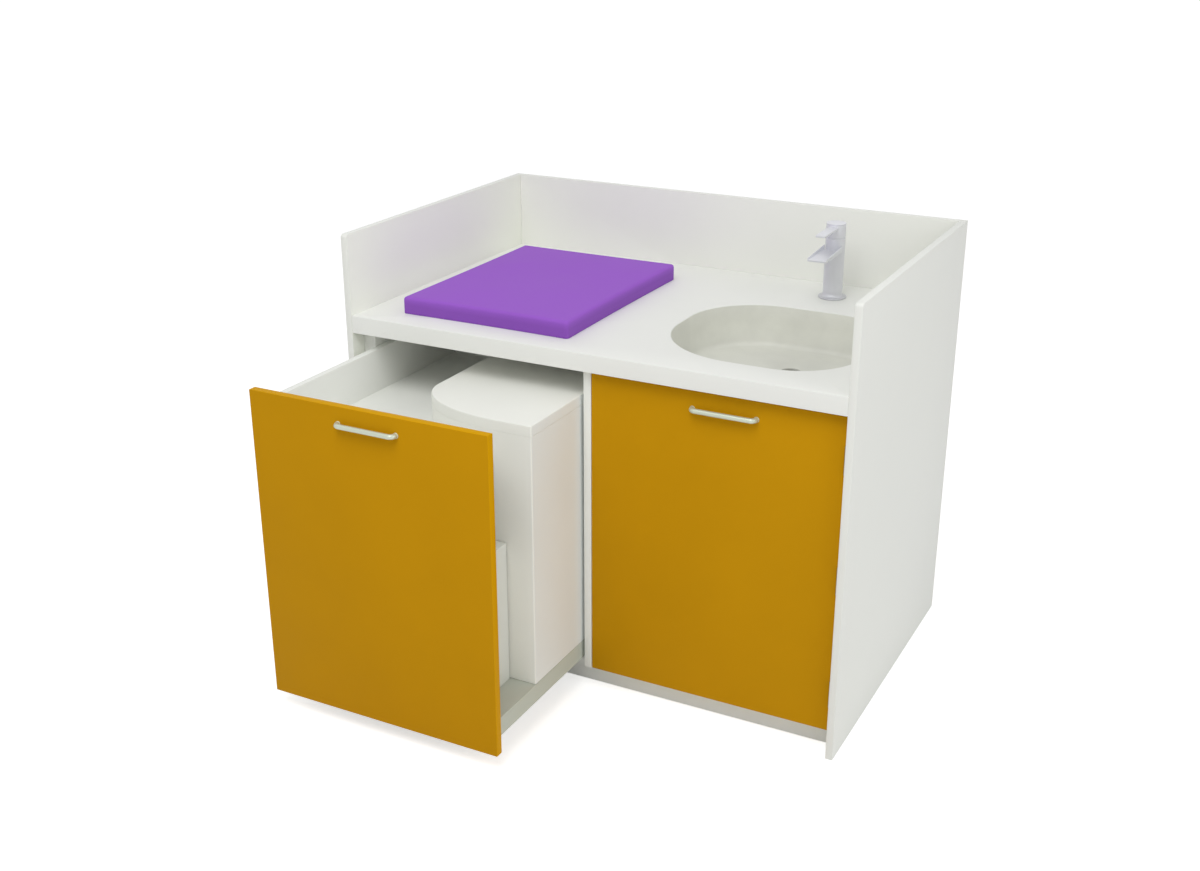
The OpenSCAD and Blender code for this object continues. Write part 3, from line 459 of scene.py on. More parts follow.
# finishes: the faces, the edge bands and, where there is a third, the face towards last
def makeBoard(node, body, finishes, rounded=False, last=(0, 1, 0)):
    low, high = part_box(node)
    bm = bmesh.new()
    addBox(bm, low, high)
    if rounded:
        nose = [e for e in bm.edges
                if all(v.co.y < low.y + touching and v.co.z > high.z - touching for v in e.verts)]
        bevelEdges(bm, nose, board["nose"], board["noseSegments"])
    bevelEdges(bm, sharpEdges(bm.edges), board["edge"], board["edgeSegments"])
    size = high - low
    thin = min(range(3), key=lambda axis: size[axis])
    for f in bm.faces:
        f.material_index = 0 if abs(f.normal[thin]) > facing else 1
        if len(finishes) > 2 and f.normal.dot(Vector(last)) > facing:
            f.material_index = 2
    skinNode(node, bm, body, finishes)


whiteBoards = {
    "cabinet": ["right_side_panel", "centre_partition", "base_panel_left",
                "base_panel_right", "plinth", "plinth_rail", "filler_post"],
    "pullout": ["pullout_side", "pullout_back"],
}
for bodyName, names in whiteBoards.items():
    for nodeName in names:
        makeBoard(nodeName, bodyName, ["whiteBoard", "whiteEdge"],
                  rounded=nodeName.endswith("side_panel"))
# the left panel's inner face takes the copy of the white board with painted light
makeBoard("left_side_panel", "cabinet", ["whiteBoard", "whiteEdge", "guardFacePaintedLight"],
          rounded=True, last=(1, 0, 0))
makeBoard("pullout_front", "pullout", ["ochreBoard", "ochreEdge", "whiteBoard"])
makeBoard("door_panel", "door", ["ochreBoard", "ochreEdge", "whiteBoard"])


def makeBackPanel():  # board with the opening for the outlet pipe
    low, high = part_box("back_panel")
    pipeLow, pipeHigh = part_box("trap_outlet")
    centre = (pipeLow + pipeHigh) / 2
    bm = bmesh.new()
    sheet = addBox(bm, low, high)
    broad = [f for f in bm.faces if abs(f.normal.y) > facing]
    bmesh.ops.delete(bm, geom=broad, context="FACES_ONLY")
    holes = []
    for y in (low.y, high.y):
        made = bmesh.ops.create_circle(bm, cap_ends=False, segments=board["pipeHoleSides"],
                                       radius=board["pipeHole"],
                                       matrix=Matrix.Rotation(math.pi / 2, 4, "X"))["verts"]
        bmesh.ops.translate(bm, vec=(centre.x, y, centre.z), verts=made)
        holes.append(edgesOf(made))
        outline = [e for e in edgesOf(sheet) if all(abs(v.co.y - y) < touching for v in e.verts)]
        fillFlat(bm, outline + holes[-1])
    bmesh.ops.bridge_loops(bm, edges=holes[0] + holes[1])
    bevelEdges(bm, sharpEdges(bm.edges), board["edge"], board["edgeSegments"])
    # the front face takes the darker copy of the white board, painted shade
    for f in bm.faces:
        f.material_index = 2 if f.normal.y < -facing else 0 if f.normal.y > facing else 1
    skinNode("back_panel", bm, "cabinet", ["whiteBoard", "whiteEdge", "backGuardPaintedShade"])


def makeBattens():
    low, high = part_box("worktop_battens")
    partLow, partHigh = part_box("centre_partition")
    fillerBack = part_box("filler_post")[1].y
    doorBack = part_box("door_panel")[1].y
    depth = battens["depth"]
    bm = bmesh.new()
    for a, b in (
        ((low.x, fillerBack, low.z), (low.x + depth, high.y, high.z)),
        ((high.x - depth, doorBack + battens["behindDoor"], low.z), (high.x, high.y, high.z)),
        ((low.x + depth, high.y - depth, low.z), (partLow.x, high.y, high.z)),
        ((partHigh.x, high.y - depth, low.z), (high.x - depth, high.y, high.z)),
    ):
        made = addBox(bm, a, b)
        bevelEdges(bm, edgesOf(made), battens["edge"], battens["edgeSegments"])
    skinNode("worktop_battens", bm, "cabinet", ["whiteBoard"])


makeBackPanel()
makeBattens()
print("boards made")


# Worktop and basin

basin = {
    "corners": (200 * mm, 166 * mm, 150 * mm),  # left front, left back, right
    "inset": (680 * mm, 51 * mm, 90 * mm, 239 * mm),  # mouth from the worktop's left, right, front, back
    "rim": 2 * mm,
    "rimFinish": 0.9,  # share of the rim's height that looks like the worktop
    "wall": 8 * mm,
    "wallSteps": 6,
    "flange": 18 * mm,
    "draft": 8 * mm,
    "wallDraft": 0.8,  # share of the draft that the wall takes
    "fillet": 14 * mm,
    "fall": 1.5 * mm,
    "fallInset": 40 * mm,  # from the fillet to the ring where the fall begins
    "fallShares": (0.7, 0.2),  # of the fall, left at those two rings
    "dish": 26 * mm,  # from the waste's edge to the ring where the fall ends
    "seat": (1 * mm, 0.1 * mm, 0.3 * mm),  # for the waste: in from its edge, down there, down at the bore
    "bore": 22.3 * mm,
    "foot": 33 * mm,  # flat ring under the floor
    "underCorner": 6 * mm,
    "edge": 1.5 * mm,  # of the worktop
}
topLow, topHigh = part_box("worktop")
mouthLow = Vector((topLow.x + basin["inset"][0], topLow.y + basin["inset"][2], 0))
mouthHigh = Vector((topHigh.x - basin["inset"][1], topHigh.y - basin["inset"][3], 0))


def mouthRing(bm, height, inset):
    return roundedRing(bm, (mouthLow.x + inset, mouthLow.y + inset),
                       (mouthHigh.x - inset, mouthHigh.y - inset), height,
                       [radius - inset for radius in basin["corners"]])


def makeWorktop():
    edge, rim = basin["edge"], basin["rim"]
    bm = bmesh.new()

    def outline(height, inset):
        return roundedRing(bm, (topLow.x + inset, topLow.y + inset),
                           (topHigh.x - inset, topHigh.y - inset), height, (edge,) * 3)

    outer = [outline(topHigh.z - edge * down, edge * inwards) for down, inwards in roundOver(90, 60, 30, 0)]
    outer.append(outline(topLow.z, 0))
    mouth = [mouthRing(bm, topHigh.z - rim * down, -rim * inwards)
             for down, inwards in roundOver(90, 67.5, 45, 22.5, 0)]
    mouth.append(mouthRing(bm, topLow.z, 0))
    bridge(bm, outer)
    bridge(bm, mouth)
    wall = set(bm.faces)
    fillFlat(bm, outer[0] + mouth[0])
    fillFlat(bm, outer[-1] + mouth[-1])
    for f in bm.faces:  # the cut's wall takes the basin's finish with its painted shade
        middle = f.calc_center_median()
        inMouth = (mouthLow.x - rim < middle.x < mouthHigh.x + rim and
                   mouthLow.y - rim < middle.y < mouthHigh.y + rim)
        below = middle.z < topHigh.z - rim * basin["rimFinish"]
        f.material_index = 1 if f in wall and inMouth and below else 0
    skinNode("worktop", bm, "cabinet", ["worktopLaminate", "basinWhitePaintedShade"], 50)


def makeBowl():
    low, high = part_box("basin_bowl")
    wasteLow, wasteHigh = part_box("waste_flange")
    drain = (wasteLow + wasteHigh) / 2
    drainRadius = (wasteHigh.x - wasteLow.x) / 2
    wall, flange, fillet, draft, fall = (basin[k] for k in ("wall", "flange", "fillet", "draft", "fall"))
    steps, lean, bore = basin["wallSteps"], draft * basin["wallDraft"], basin["bore"]
    floor = low.z + wall
    sides = 4 * (ringSteps + 1)  # as many as a mouth ring has
    bm = bmesh.new()
    inner = [mouthRing(bm, high.z, 0)]
    for i in range(1, steps + 1):  # wall, leaning in more and more
        inner.append(mouthRing(bm, high.z - (high.z - floor - fillet) * i / steps,
                               lean * (i / steps) ** 2))
    for down, inwards in roundOver(15, 30, 45, 60, 75, 90):  # fillet at the floor
        inner.append(mouthRing(bm, floor + fillet * down + fall, lean + fillet * inwards))
    early, late = basin["fallShares"]
    inner.append(mouthRing(bm, floor + fall * early, draft + fillet + basin["fallInset"]))
    seat, seatDown, boreDown = basin["seat"]
    for radius, height in ((drainRadius + basin["dish"], floor + fall * late),
                           (drainRadius - seat, floor - seatDown), (bore, floor - boreDown), (bore, low.z)):
        inner.append(circleRing(bm, drain, radius, height, sides))
    under = 3 * apart
    outer = [circleRing(bm, drain, basin["foot"], low.z + apart, sides)]
    outer.append(mouthRing(bm, low.z + 2 * apart, draft + fillet / 2 - wall + basin["underCorner"]))
    for down, inwards in roundOver(60, 30, 0):
        outer.append(mouthRing(bm, low.z + under + (fillet - under) * down,
                               draft - wall + (fillet / 2) * inwards))
    outer.append(mouthRing(bm, high.z - wall, -wall))
    outer.append(mouthRing(bm, high.z - wall + apart, -flange))
    outer.append(mouthRing(bm, high.z - apart, -flange))
    bridge(bm, inner + outer + [inner[0]])
    skinNode("basin_bowl", bm, "cabinet", ["basinWhitePaintedShade"], 50)


makeWorktop()
makeBowl()
print("worktop and basin made")


# Waste and trap

waste = {
    "tail": 22 * mm,
    "bore": 20 * mm,
    "plate": 2 * mm,
    "lip": 1.6 * mm,
    "chamfer": 0.2 * mm,
    "dish": ((2.2, 0.3), (4, 1.2)),  # inside the lip: in from the edge and down, in mm
    "throat": ((21, 3.5), (20, 6)),  # below the dish: radius and depth, in mm
    "strainer": 20.4 * mm,
    "strainerSides": 64,
    "strainerDown": 5 * mm,
    "strainerThick": 1.5 * mm,
    "holes": ((1, 0, 3.4), (6, 8, 2.8), (6, 15, 2.6)),  # in each ring: count, reach and radius in mm
    "holeSides": 20,
}

trap = {
    "nutBore": 22.3 * mm,
    "wall": 3 * mm,
    "grip": 1.2 * mm,
    "overhang": 4 * mm,  # of the cup's nut past the cup
    "nutHeight": 14 * mm,
    "cupRound": 9 * mm,
    "cupFloor": 4 * mm,
    "cupBevel": 2 * mm,
    "shoulder": 4 * mm,
    "collar": 28 * mm,
    "collarHeight": 12 * mm,
    "collarRound": 2 * mm,
    "throat": 20 * mm,
    "socket": 20 * mm,
    "socketLength": 23.5 * mm,
    "socketStep": 20 * mm,
    "socketRound": 1.5 * mm,
    "socketBore": 16.3 * mm,
    "socketThroat": 14 * mm,
    "socketFloor": 2 * mm,
}


def makeWaste():
    low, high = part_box("waste_flange")
    centre = (low + high) / 2
    radius = (high.x - low.x) / 2
    top = high.z
    tail, bore, plate, lip = (waste[k] for k in ("tail", "bore", "plate", "lip"))
    bm = bmesh.new()
    points = [(tail, low.z), (tail, top - plate), (radius - waste["chamfer"], top - plate),
              (radius, top - lip)]
    points += arc((radius - lip, top - lip), lip, 0, 90, 4)[1:]
    points += [(radius - inwards * mm, top - down * mm) for inwards, down in waste["dish"]]
    points += [(reach * mm, top - down * mm) for reach, down in waste["throat"]]
    points += [(bore, low.z), (tail, low.z)]
    spunProfile(bm, centre, points)
    skinNode("waste_flange", bm, "cabinet", ["drainMetalPaintedShade"])

    bm = bmesh.new()  # strainer plate inside the flange
    level = top - waste["strainerDown"]
    rings = circleRing(bm, centre, waste["strainer"], level, waste["strainerSides"])
    for ring, (count, reach, size) in enumerate(waste["holes"]):
        for i in range(count):
            turn = math.tau * (i + 0.5 * (ring == 2)) / count  # the outer ring is half a step on
            spot = (centre.x + reach * mm * math.cos(turn), centre.y + reach * mm * math.sin(turn))
            rings += circleRing(bm, spot, size * mm, level, waste["holeSides"])
    fillFlat(bm, rings)
    thicken(bm, -waste["strainerThick"])
    makePiece("waste_strainer", bm, "cabinet", ["drainMetalPaintedShade"], [])


def grippedRing(bm, centre, inner, outer, low, high, grips=24):  # nut with grips round its rim
    sides = grips * 4
    rings = [circleRing(bm, centre, radius, height, sides)
             for radius, height in ((outer, low), (outer, high), (inner, low), (inner, high))]
    outerLow, outerHigh, innerLow, innerHigh = rings
    bridge(bm, [innerLow, outerLow, outerHigh, innerHigh, innerLow])
    for v in bm.verts:
        away = Vector((v.co.x - centre[0], v.co.y - centre[1], 0))
        if abs(away.length - outer) < touching:
            turn = math.atan2(away.y, away.x) / math.tau * grips
            if (turn + 0.25) % 1 < 0.5:  # half of each grip's turn is cut back
                v.co -= away.normalized() * trap["grip"]


def makeTrap():
    nutLow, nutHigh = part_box("waste_nut")
    centre = (nutLow + nutHigh) / 2
    wall, nutBore, nutHeight = trap["wall"], trap["nutBore"], trap["nutHeight"]
    bm = bmesh.new()
    grippedRing(bm, centre, nutBore, (nutHigh.x - nutLow.x) / 2, nutLow.z, nutHigh.z)
    skinNode("waste_nut", bm, "cabinet", ["tapMetal"])

    low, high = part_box("trap_cup")
    reach = (high.x - low.x) / 2
    body = reach - trap["overhang"]
    curve, seat = trap["cupRound"], high.z - nutHeight
    bm = bmesh.new()
    points = [(0, low.z)] + arc((body - curve, low.z + curve), curve, -90, 0)
    floor = low.z + trap["cupFloor"]
    points += [(body, seat), (body - wall, seat), (body - wall, floor + trap["cupBevel"]), (0, floor)]
    spunProfile(bm, centre, points)
    skinNode("trap_cup", bm, "cabinet", ["trapPlastic"])
    bm = bmesh.new()
    grippedRing(bm, centre, body - wall, reach, seat, high.z, 30)
    makePiece("trap_cup_nut", bm, "cabinet", ["trapPlastic"], [])

    bodyLow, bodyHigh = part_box("trap_body")
    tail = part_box("waste_flange")[0].z
    pipeLow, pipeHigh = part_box("trap_outlet")
    axis = (pipeLow + pipeHigh) / 2
    shoulder, collar, curve = trap["shoulder"], trap["collar"], trap["collarRound"]
    collarTop = tail + trap["collarHeight"]
    bm = bmesh.new()
    points = [(body - wall, bodyLow.z), (body, bodyLow.z), (body, tail - shoulder)]
    points += arc((body - shoulder, tail - shoulder), shoulder, 0, 90, 4)[1:]
    points += [(collar, tail), (collar, collarTop)]
    points += arc((collar - curve, collarTop), curve, 0, 90, 3)[1:]
    points += [(nutBore, bodyHigh.z), (nutBore, tail), (trap["throat"], tail - shoulder),
               (body - wall, tail - shoulder - wall), (body - wall, bodyLow.z)]
    spunProfile(bm, centre, points)
    known = set(bm.verts)
    side, length, curve, bore = (trap[k] for k in ("socket", "socketLength", "socketRound", "socketBore"))
    throat, floor = trap["socketThroat"], trap["socketFloor"]
    points = [(side, 0), (side, trap["socketStep"])] + arc((side - curve, length - curve), curve, 0, 90, 3)
    points += [(bore, length), (bore, floor), (throat, floor), (throat, 0), (side, 0)]
    spunProfile(bm, (0, 0, 0), points, 48)
    putAt(bm, vertsSince(bm, known), (axis.x, bodyHigh.y - length, axis.z), -math.pi / 2)
    skinNode("trap_body", bm, "cabinet", ["trapPlastic"])


makeWaste()
makeTrap()
print("waste and trap made")


# Tap

tap = {
    "sides": 96,
    "column": 23 * mm,
    "foot": 33 * mm,
    "footEdge": 2 * mm,
    "flare": 9 * mm,
    "bore": 16.2 * mm,
    "seat": 18 * mm,
    "seatDepth": 20 * mm,
    "chamfer": 0.6 * mm,
    "edge": 0.8 * mm,
    "blade": 45 * mm,
    "bladeEdge": 0.6,  # share of the edge above
    "spoutReach": 125 * mm,
    "spoutFloor": 113 * mm,
    "spoutHeight": 15 * mm,
    "spoutMouth": 8 * mm,
    "spoutSheet": 4 * mm,
    "spoutFall": 1 * mm,
    "spoutRoot": 0.6,  # share of the column's radius at which the spout starts
    "head": 30 * mm,  # from its lower edge to the cap
    "headBore": 20 * mm,
    "headDepth": 11 * mm,
    "groove": ((0, 3.4), (0.8, 3), (0.8, 1), (0.2, 0)),  # in from the column and down from the top, in mm
    "lever": 23 * mm,
    "leverReach": 110 * mm,
    "leverSheet": 5 * mm,
    "leverBelowTop": 12 * mm,
    "leverFall": 0.5 * mm,
    "leverRoot": 0.5,
    "leverCorner": 2 * mm,
    "capOver": 0.4 * mm,
    "ring": 21.6 * mm,
    "ringBore": 15.8 * mm,
    "ringHeight": 2.2 * mm,
    "ringRamp": 12 * mm,
    "ringBack": 0.3 * mm,
    "ringGap": 0.1 * mm,
}
tapLow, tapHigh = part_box("tap_body")
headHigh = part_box("tap_handle")[1]
capLow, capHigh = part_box("tap_cap")
tapCentre = (capLow + capHigh) / 2


def makeTapBody():
    r, foot, footEdge, flare = (tap[k] for k in ("column", "foot", "footEdge", "flare"))
    bore, seat, chamfer = tap["bore"], tap["seat"], tap["chamfer"]
    seatFloor = tapHigh.z - tap["seatDepth"]
    bm = bmesh.new()
    points = [(bore, tapLow.z)] + arc((foot - footEdge, tapLow.z + footEdge), footEdge, -90, 90, 8)
    points += arc((r + flare, tapLow.z + 2 * footEdge + flare), flare, -90, -180, 8)
    points += [(r, tapHigh.z - chamfer), (r - chamfer, tapHigh.z), (seat, tapHigh.z), (seat, seatFloor),
               (bore, seatFloor), (bore, tapLow.z)]
    spunProfile(bm, tapCentre, points, tap["sides"])
    known = set(bm.verts)  # spout: a plate with a lip along each side
    half, reach, lip = tap["blade"] / 2, tap["spoutReach"], tap["spoutSheet"] / 2
    made = addBox(bm, (-half, -reach, 0), (half, -r * tap["spoutRoot"], tap["spoutSheet"]))
    for x in (lip - half, half - lip):
        bmesh.ops.bisect_plane(bm, geom=made + edgesOf(made) + facesOf(made), plane_co=(x, 0, 0),
                               plane_no=(1, 0, 0))
        made = vertsSince(bm, known)
    lips = [f for f in facesOf(made) if f.normal.z > facing and abs(f.calc_center_median().x) > half - lip]
    grown = bmesh.ops.extrude_discrete_faces(bm, faces=lips)["faces"]
    for v in {v for f in grown for v in f.verts}:
        v.co.z = tap["spoutHeight"] + (tap["spoutMouth"] - tap["spoutHeight"]) * -v.co.y / reach
    bevelEdges(bm, sharpEdges(edgesOf(vertsSince(bm, known))), tap["edge"] * tap["bladeEdge"], 2)
    putAt(bm, vertsSince(bm, known), (tapCentre.x, tapCentre.y, tapLow.z + tap["spoutFloor"]),
          math.atan(tap["spoutFall"] / reach))
    skinNode("tap_body", bm, "cabinet", ["tapMetal"])


def makeTapHandle():  # head with a groove below its top, and a flat lever
    r, bore, chamfer, edge = (tap[k] for k in ("column", "headBore", "chamfer", "edge"))
    bottom, top = capLow.z - tap["head"], headHigh.z
    bm = bmesh.new()
    points = [(bore, bottom), (r - chamfer, bottom), (r, bottom + chamfer)]
    points += [(r - inwards * mm, top - down * mm) for inwards, down in tap["groove"]]
    points += [(0, top), (0, bottom + tap["headDepth"]), (bore, bottom + tap["headDepth"]), (bore, bottom)]
    spunProfile(bm, tapCentre, points, tap["sides"])
    known = set(bm.verts)
    half, reach = tap["lever"] / 2, tap["leverReach"]
    made = addBox(bm, (-half, -reach, 0), (half, -r * tap["leverRoot"], tap["leverSheet"]))
    corners = [e for e in edgesOf(made) if all(v.co.y < -reach + touching for v in e.verts)
               and abs(e.verts[0].co.x - e.verts[1].co.x) < touching]
    bevelEdges(bm, corners, tap["leverCorner"], 3)
    bevelEdges(bm, edgesOf(vertsSince(bm, known)), edge, 2)
    putAt(bm, vertsSince(bm, known), (tapCentre.x, tapCentre.y, capHigh.z - tap["leverBelowTop"]),
          math.atan(tap["leverFall"] / reach))
    skinNode("tap_handle", bm, "tap_lever", ["tapMetal"])


def makeTapRing():  # under the head, lower at the rear so that the lever can lift
    bore, outside, height, back = (tap[k] for k in ("ringBore", "ring", "ringHeight", "ringBack"))
    foot = tapHigh.z + tap["ringGap"]
    bm = bmesh.new()
    spunProfile(bm, tapCentre, [(bore, foot), (outside, foot), (outside, foot + height),
                                (bore, foot + height), (bore, foot)], tap["sides"])
    for v in bm.verts:
        if v.co.z > foot + touching and v.co.y > tapCentre.y:
            share = min(1, (v.co.y - tapCentre.y) / tap["ringRamp"])
            v.co.z = foot + height * (1 - share) + back * share
    makePiece("tap_ring", bm, "tap_turner", ["tapMetal"], [])


def makeTapCap():
    curve = tap["edge"]
    rim = (capHigh.x - capLow.x) / 2 + tap["capOver"]
    bm = bmesh.new()
    points = [(0, capLow.z), (rim - tap["chamfer"], capLow.z)]
    points += arc((rim - curve, capHigh.z - curve), curve, 0, 90, 4) + [(0, capHigh.z)]
    spunProfile(bm, tapCentre, points, tap["sides"])
    skinNode("tap_cap", bm, "tap_lever", ["tapMetal"])


makeTapBody()
makeTapHandle()
makeTapRing()
makeTapCap()
print("tap made")


# Handles

handle = {
    "bar": 11 * mm,
    "pitch": 140 * mm,
    "out": 18 * mm,
    "bend": 10 * mm,
    "sides": 32,
    "bendSteps": 12,
    "footFlare": 0.6 * mm,
    "footSide": 0.8 * mm,
    "footTop": 1.4 * mm,
}


def makeHandle(node, body, frontNode):  # a bar pushed and turned from one foot to the other
    low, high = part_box(node)
    middle = (low + high) / 2
    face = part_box(frontNode)[0].y
    radius, bend = handle["bar"] / 2, handle["bend"]
    half = handle["pitch"] / 2
    straight = handle["out"] - radius - bend
    bm = bmesh.new()
    made = bmesh.ops.create_circle(bm, cap_ends=False, segments=handle["sides"], radius=radius,
                                   matrix=Matrix.Rotation(math.pi / 2, 4, "X"))["verts"]
    bmesh.ops.translate(bm, vec=(middle.x - half, face, middle.z), verts=made)
    end = edgesOf(made)

    def push(edges, step):
        grown = bmesh.ops.extrude_edge_only(bm, edges=edges)["geom"]
        moved = vertsIn(grown)
        bmesh.ops.translate(bm, vec=step, verts=moved)
        return [e for e in edgesIn(grown) if all(v in moved for v in e.verts)]

    def turn(edges, x):
        verts = list(dict.fromkeys(v for e in edges for v in e.verts))
        return edgesIn(bmesh.ops.spin(bm, geom=verts + edges, cent=(x, face - straight, middle.z),
                                      axis=(0, 0, 1), angle=math.pi / 2, steps=handle["bendSteps"],
                                      use_duplicate=False)["geom_last"])

    end = push(end, (0, -straight, 0))
    end = turn(end, middle.x - half + bend)
    end = push(end, (handle["pitch"] - 2 * bend, 0, 0))
    end = turn(end, middle.x + half - bend)
    push(end, (0, straight, 0))
    bmesh.ops.remove_doubles(bm, verts=bm.verts[:], dist=touching)
    bmesh.ops.holes_fill(bm, edges=[e for e in bm.edges if e.is_boundary], sides=0)
    foot = radius + handle["footFlare"]
    for side in (-1, 1):  # seat of each leg on the front
        known = set(bm.verts)
        spunProfile(bm, (0, 0), [(0, 0), (foot, 0), (foot, handle["footSide"]),
                                 (radius, handle["footTop"]), (0, handle["footTop"])], handle["sides"])
        putAt(bm, vertsSince(bm, known), (middle.x + side * half, face, middle.z), math.pi / 2)
    skinNode(node, bm, body, ["handleMetal"])


makeHandle("pullout_handle", "pullout", "pullout_front")
makeHandle("door_handle", "door", "door_panel")
print("handles made")


# Pull-out

slab = {
    "groove": 50 * mm,
    "runner": 46 * mm,
    "overGroove": 17 * mm,
}

bins = {
    "curveWide": 218 * mm,  # the tall bin's curved corner
    "curveDeep": 132 * mm,
    "curveSegments": 40,
    "corner": 3 * mm,
    "leastCorner": 0.8 * mm,
    "cornerSegments": 5,
    "flat": 0.9,  # share of a face's normal along x, past which the face belongs to the flat side
    "sideBand": 2 * mm,
    "wall": 4 * mm,
    "foot": 1.5 * mm,
    "lowFoot": 1 * mm,
    "fit": 0.4 * mm,  # between the lid's spigot and the wall
    "edge": 2.5 * mm,
    "lowEdge": 2 * mm,
    "seam": 0.25 * mm,
    "seamEdge": 0.3 * mm,
    "lowEdgeSteps": ((1, 0), (0.4, 0.2), (0.1, 0.55), (0, 1)),  # shares of the edge, down and inwards
}

tray = {
    "short": 112 * mm,  # of the front's right edge
    "clear": 0.4 * mm,
    "steps": 32,
}


def makeBase():  # slab with two grooves for the runners
    low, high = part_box("pullout_base")
    runnerLow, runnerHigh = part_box("runner_fixed")
    half = slab["groove"] / 2
    grooveTop = high.z - slab["overGroove"]
    centres = (runnerLow.x + slab["runner"] / 2, runnerHigh.x - slab["runner"] / 2)
    bm = bmesh.new()
    addBox(bm, low, high)
    for x in [c + side * half for c in centres for side in (-1, 1)]:
        cutAcross(bm, (x, 0, 0), (1, 0, 0))

    def inGroove(f):
        return any(abs(f.calc_center_median().x - c) < half for c in centres)

    ends = [f for f in bm.faces if abs(f.normal.y) > facing and inGroove(f)]
    bmesh.ops.delete(bm, geom=ends, context="FACES_ONLY")
    roofs = [f for f in bm.faces if f.normal.z < -facing and inGroove(f)]
    grown = bmesh.ops.extrude_discrete_faces(bm, faces=roofs)["faces"]
    bmesh.ops.translate(bm, vec=(0, 0, grooveTop - low.z), verts=[v for f in grown for v in f.verts])
    flaps = [f for f in bm.faces if abs(f.normal.y) > facing and f.calc_center_median().z < grooveTop
             and inGroove(f)]
    bmesh.ops.delete(bm, geom=flaps, context="FACES_ONLY")
    bmesh.ops.remove_doubles(bm, verts=bm.verts[:], dist=touching)
    bmesh.ops.holes_fill(bm, edges=[e for e in bm.edges if e.is_boundary], sides=0)
    bmesh.ops.delete(bm, geom=[e for e in bm.edges if not e.link_faces], context="EDGES")
    bevelEdges(bm, sharpEdges(bm.edges), board["edge"], board["edgeSegments"])
    for f in bm.faces:
        f.material_index = 0 if abs(f.normal.z) > facing else 1
    skinNode("pullout_base", bm, "pullout", ["greyBoard", "greyEdge"])


binLow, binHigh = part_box("tall_bin")
lidLow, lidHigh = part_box("tall_bin_lid")


def binRing(bm, height, inset):  # level outline of the tall bin
    known = set(bm.verts)
    stretch = bins["curveWide"] / bins["curveDeep"]  # makes the oval corner a round one
    low = Vector((binLow.x + inset, binLow.y + inset, 0))
    high = Vector((binHigh.x - inset, binHigh.y - inset, 0))
    made = bmesh.ops.create_grid(bm, x_segments=1, y_segments=1, size=0.5)["verts"]
    bmesh.ops.scale(bm, vec=(high.x - low.x, (high.y - low.y) * stretch, 1), verts=made)
    curved = min(made, key=lambda v: v.co.x + v.co.y)
    others = [v for v in made if v is not curved]
    roundCorners(bm, [curved], bins["curveWide"] - inset, bins["curveSegments"])
    bmesh.ops.scale(bm, vec=(1, 1 / stretch, 1), verts=vertsSince(bm, known))
    roundCorners(bm, others, max(bins["corner"] - inset, bins["leastCorner"]), bins["cornerSegments"])
    verts = vertsSince(bm, known)
    bmesh.ops.translate(bm, vec=((low.x + high.x) / 2, (low.y + high.y) / 2, height), verts=verts)
    bmesh.ops.delete(bm, geom=facesOf(verts), context="FACES_ONLY")
    return edgesOf(verts)


def markPaintedLightSide(bm):  # the flat right-hand faces take the second finish, with painted light against the door's orange bounce
    bm.normal_update()
    for f in bm.faces:
        right = abs(f.normal.x) > bins["flat"] and f.calc_center_median().x > binHigh.x - bins["sideBand"]
        f.material_index = 1 if right else 0


def makeTallBin():
    wall, foot, fit, edge, lip = (bins[k] for k in ("wall", "foot", "fit", "edge", "seamEdge"))
    bm = bmesh.new()
    rings = [(binLow.z, foot), (binLow.z + foot, 0), (binHigh.z - lip, 0), (binHigh.z, lip),
             (binHigh.z - apart, wall), (binLow.z + wall, wall)]
    bridgeClosed(bm, [binRing(bm, *ring) for ring in rings])
    markPaintedLightSide(bm)
    skinNode("tall_bin", bm, "pullout", ["tallBinPlasticPaintedLight", "binSidePaintedLight"], 40)

    seam = binHigh.z + bins["seam"]
    bm = bmesh.new()
    rings = [(lidLow.z, wall + fit), (seam + apart, wall + fit), (seam, lip), (seam + lip, 0),
             (lidHigh.z - edge, 0)]
    rings += [(lidHigh.z - edge * down, edge * inwards) for down, inwards in roundOver(30, 60, 90)]
    bridgeClosed(bm, [binRing(bm, *ring) for ring in rings])
    markPaintedLightSide(bm)
    skinNode("tall_bin_lid", bm, "tall_lid", ["tallBinPlasticPaintedLight", "binSidePaintedLight"], 40)


def makeLowBin():
    low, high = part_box("low_bin")
    lidBottom, lidTop = (corner.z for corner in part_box("low_bin_lid"))
    wall, foot, fit, edge = (bins[k] for k in ("wall", "lowFoot", "fit", "lowEdge"))

    def ring(bm, height, inset):
        return roundedRing(bm, (low.x + inset, low.y + inset), (high.x - inset, high.y - inset), height,
                           (max(bins["corner"] - inset, bins["leastCorner"]),) * 3)

    bm = bmesh.new()
    rings = [(low.z, foot), (low.z + foot, 0), (high.z, 0), (high.z - apart, wall), (low.z + wall, wall)]
    bridgeClosed(bm, [ring(bm, *r) for r in rings])
    skinNode("low_bin", bm, "pullout", ["lowBinPlasticPaintedShade"], 40)

    seam = high.z + bins["seam"]
    bm = bmesh.new()
    rings = [(lidBottom, wall + fit), (seam + apart, wall + fit), (seam, 0)]
    rings += [(lidTop - edge * down, edge * inwards) for down, inwards in bins["lowEdgeSteps"]]
    bridgeClosed(bm, [ring(bm, *r) for r in rings])
    skinNode("low_bin_lid", bm, "low_lid", ["lowBinPlasticPaintedShade"], 40)


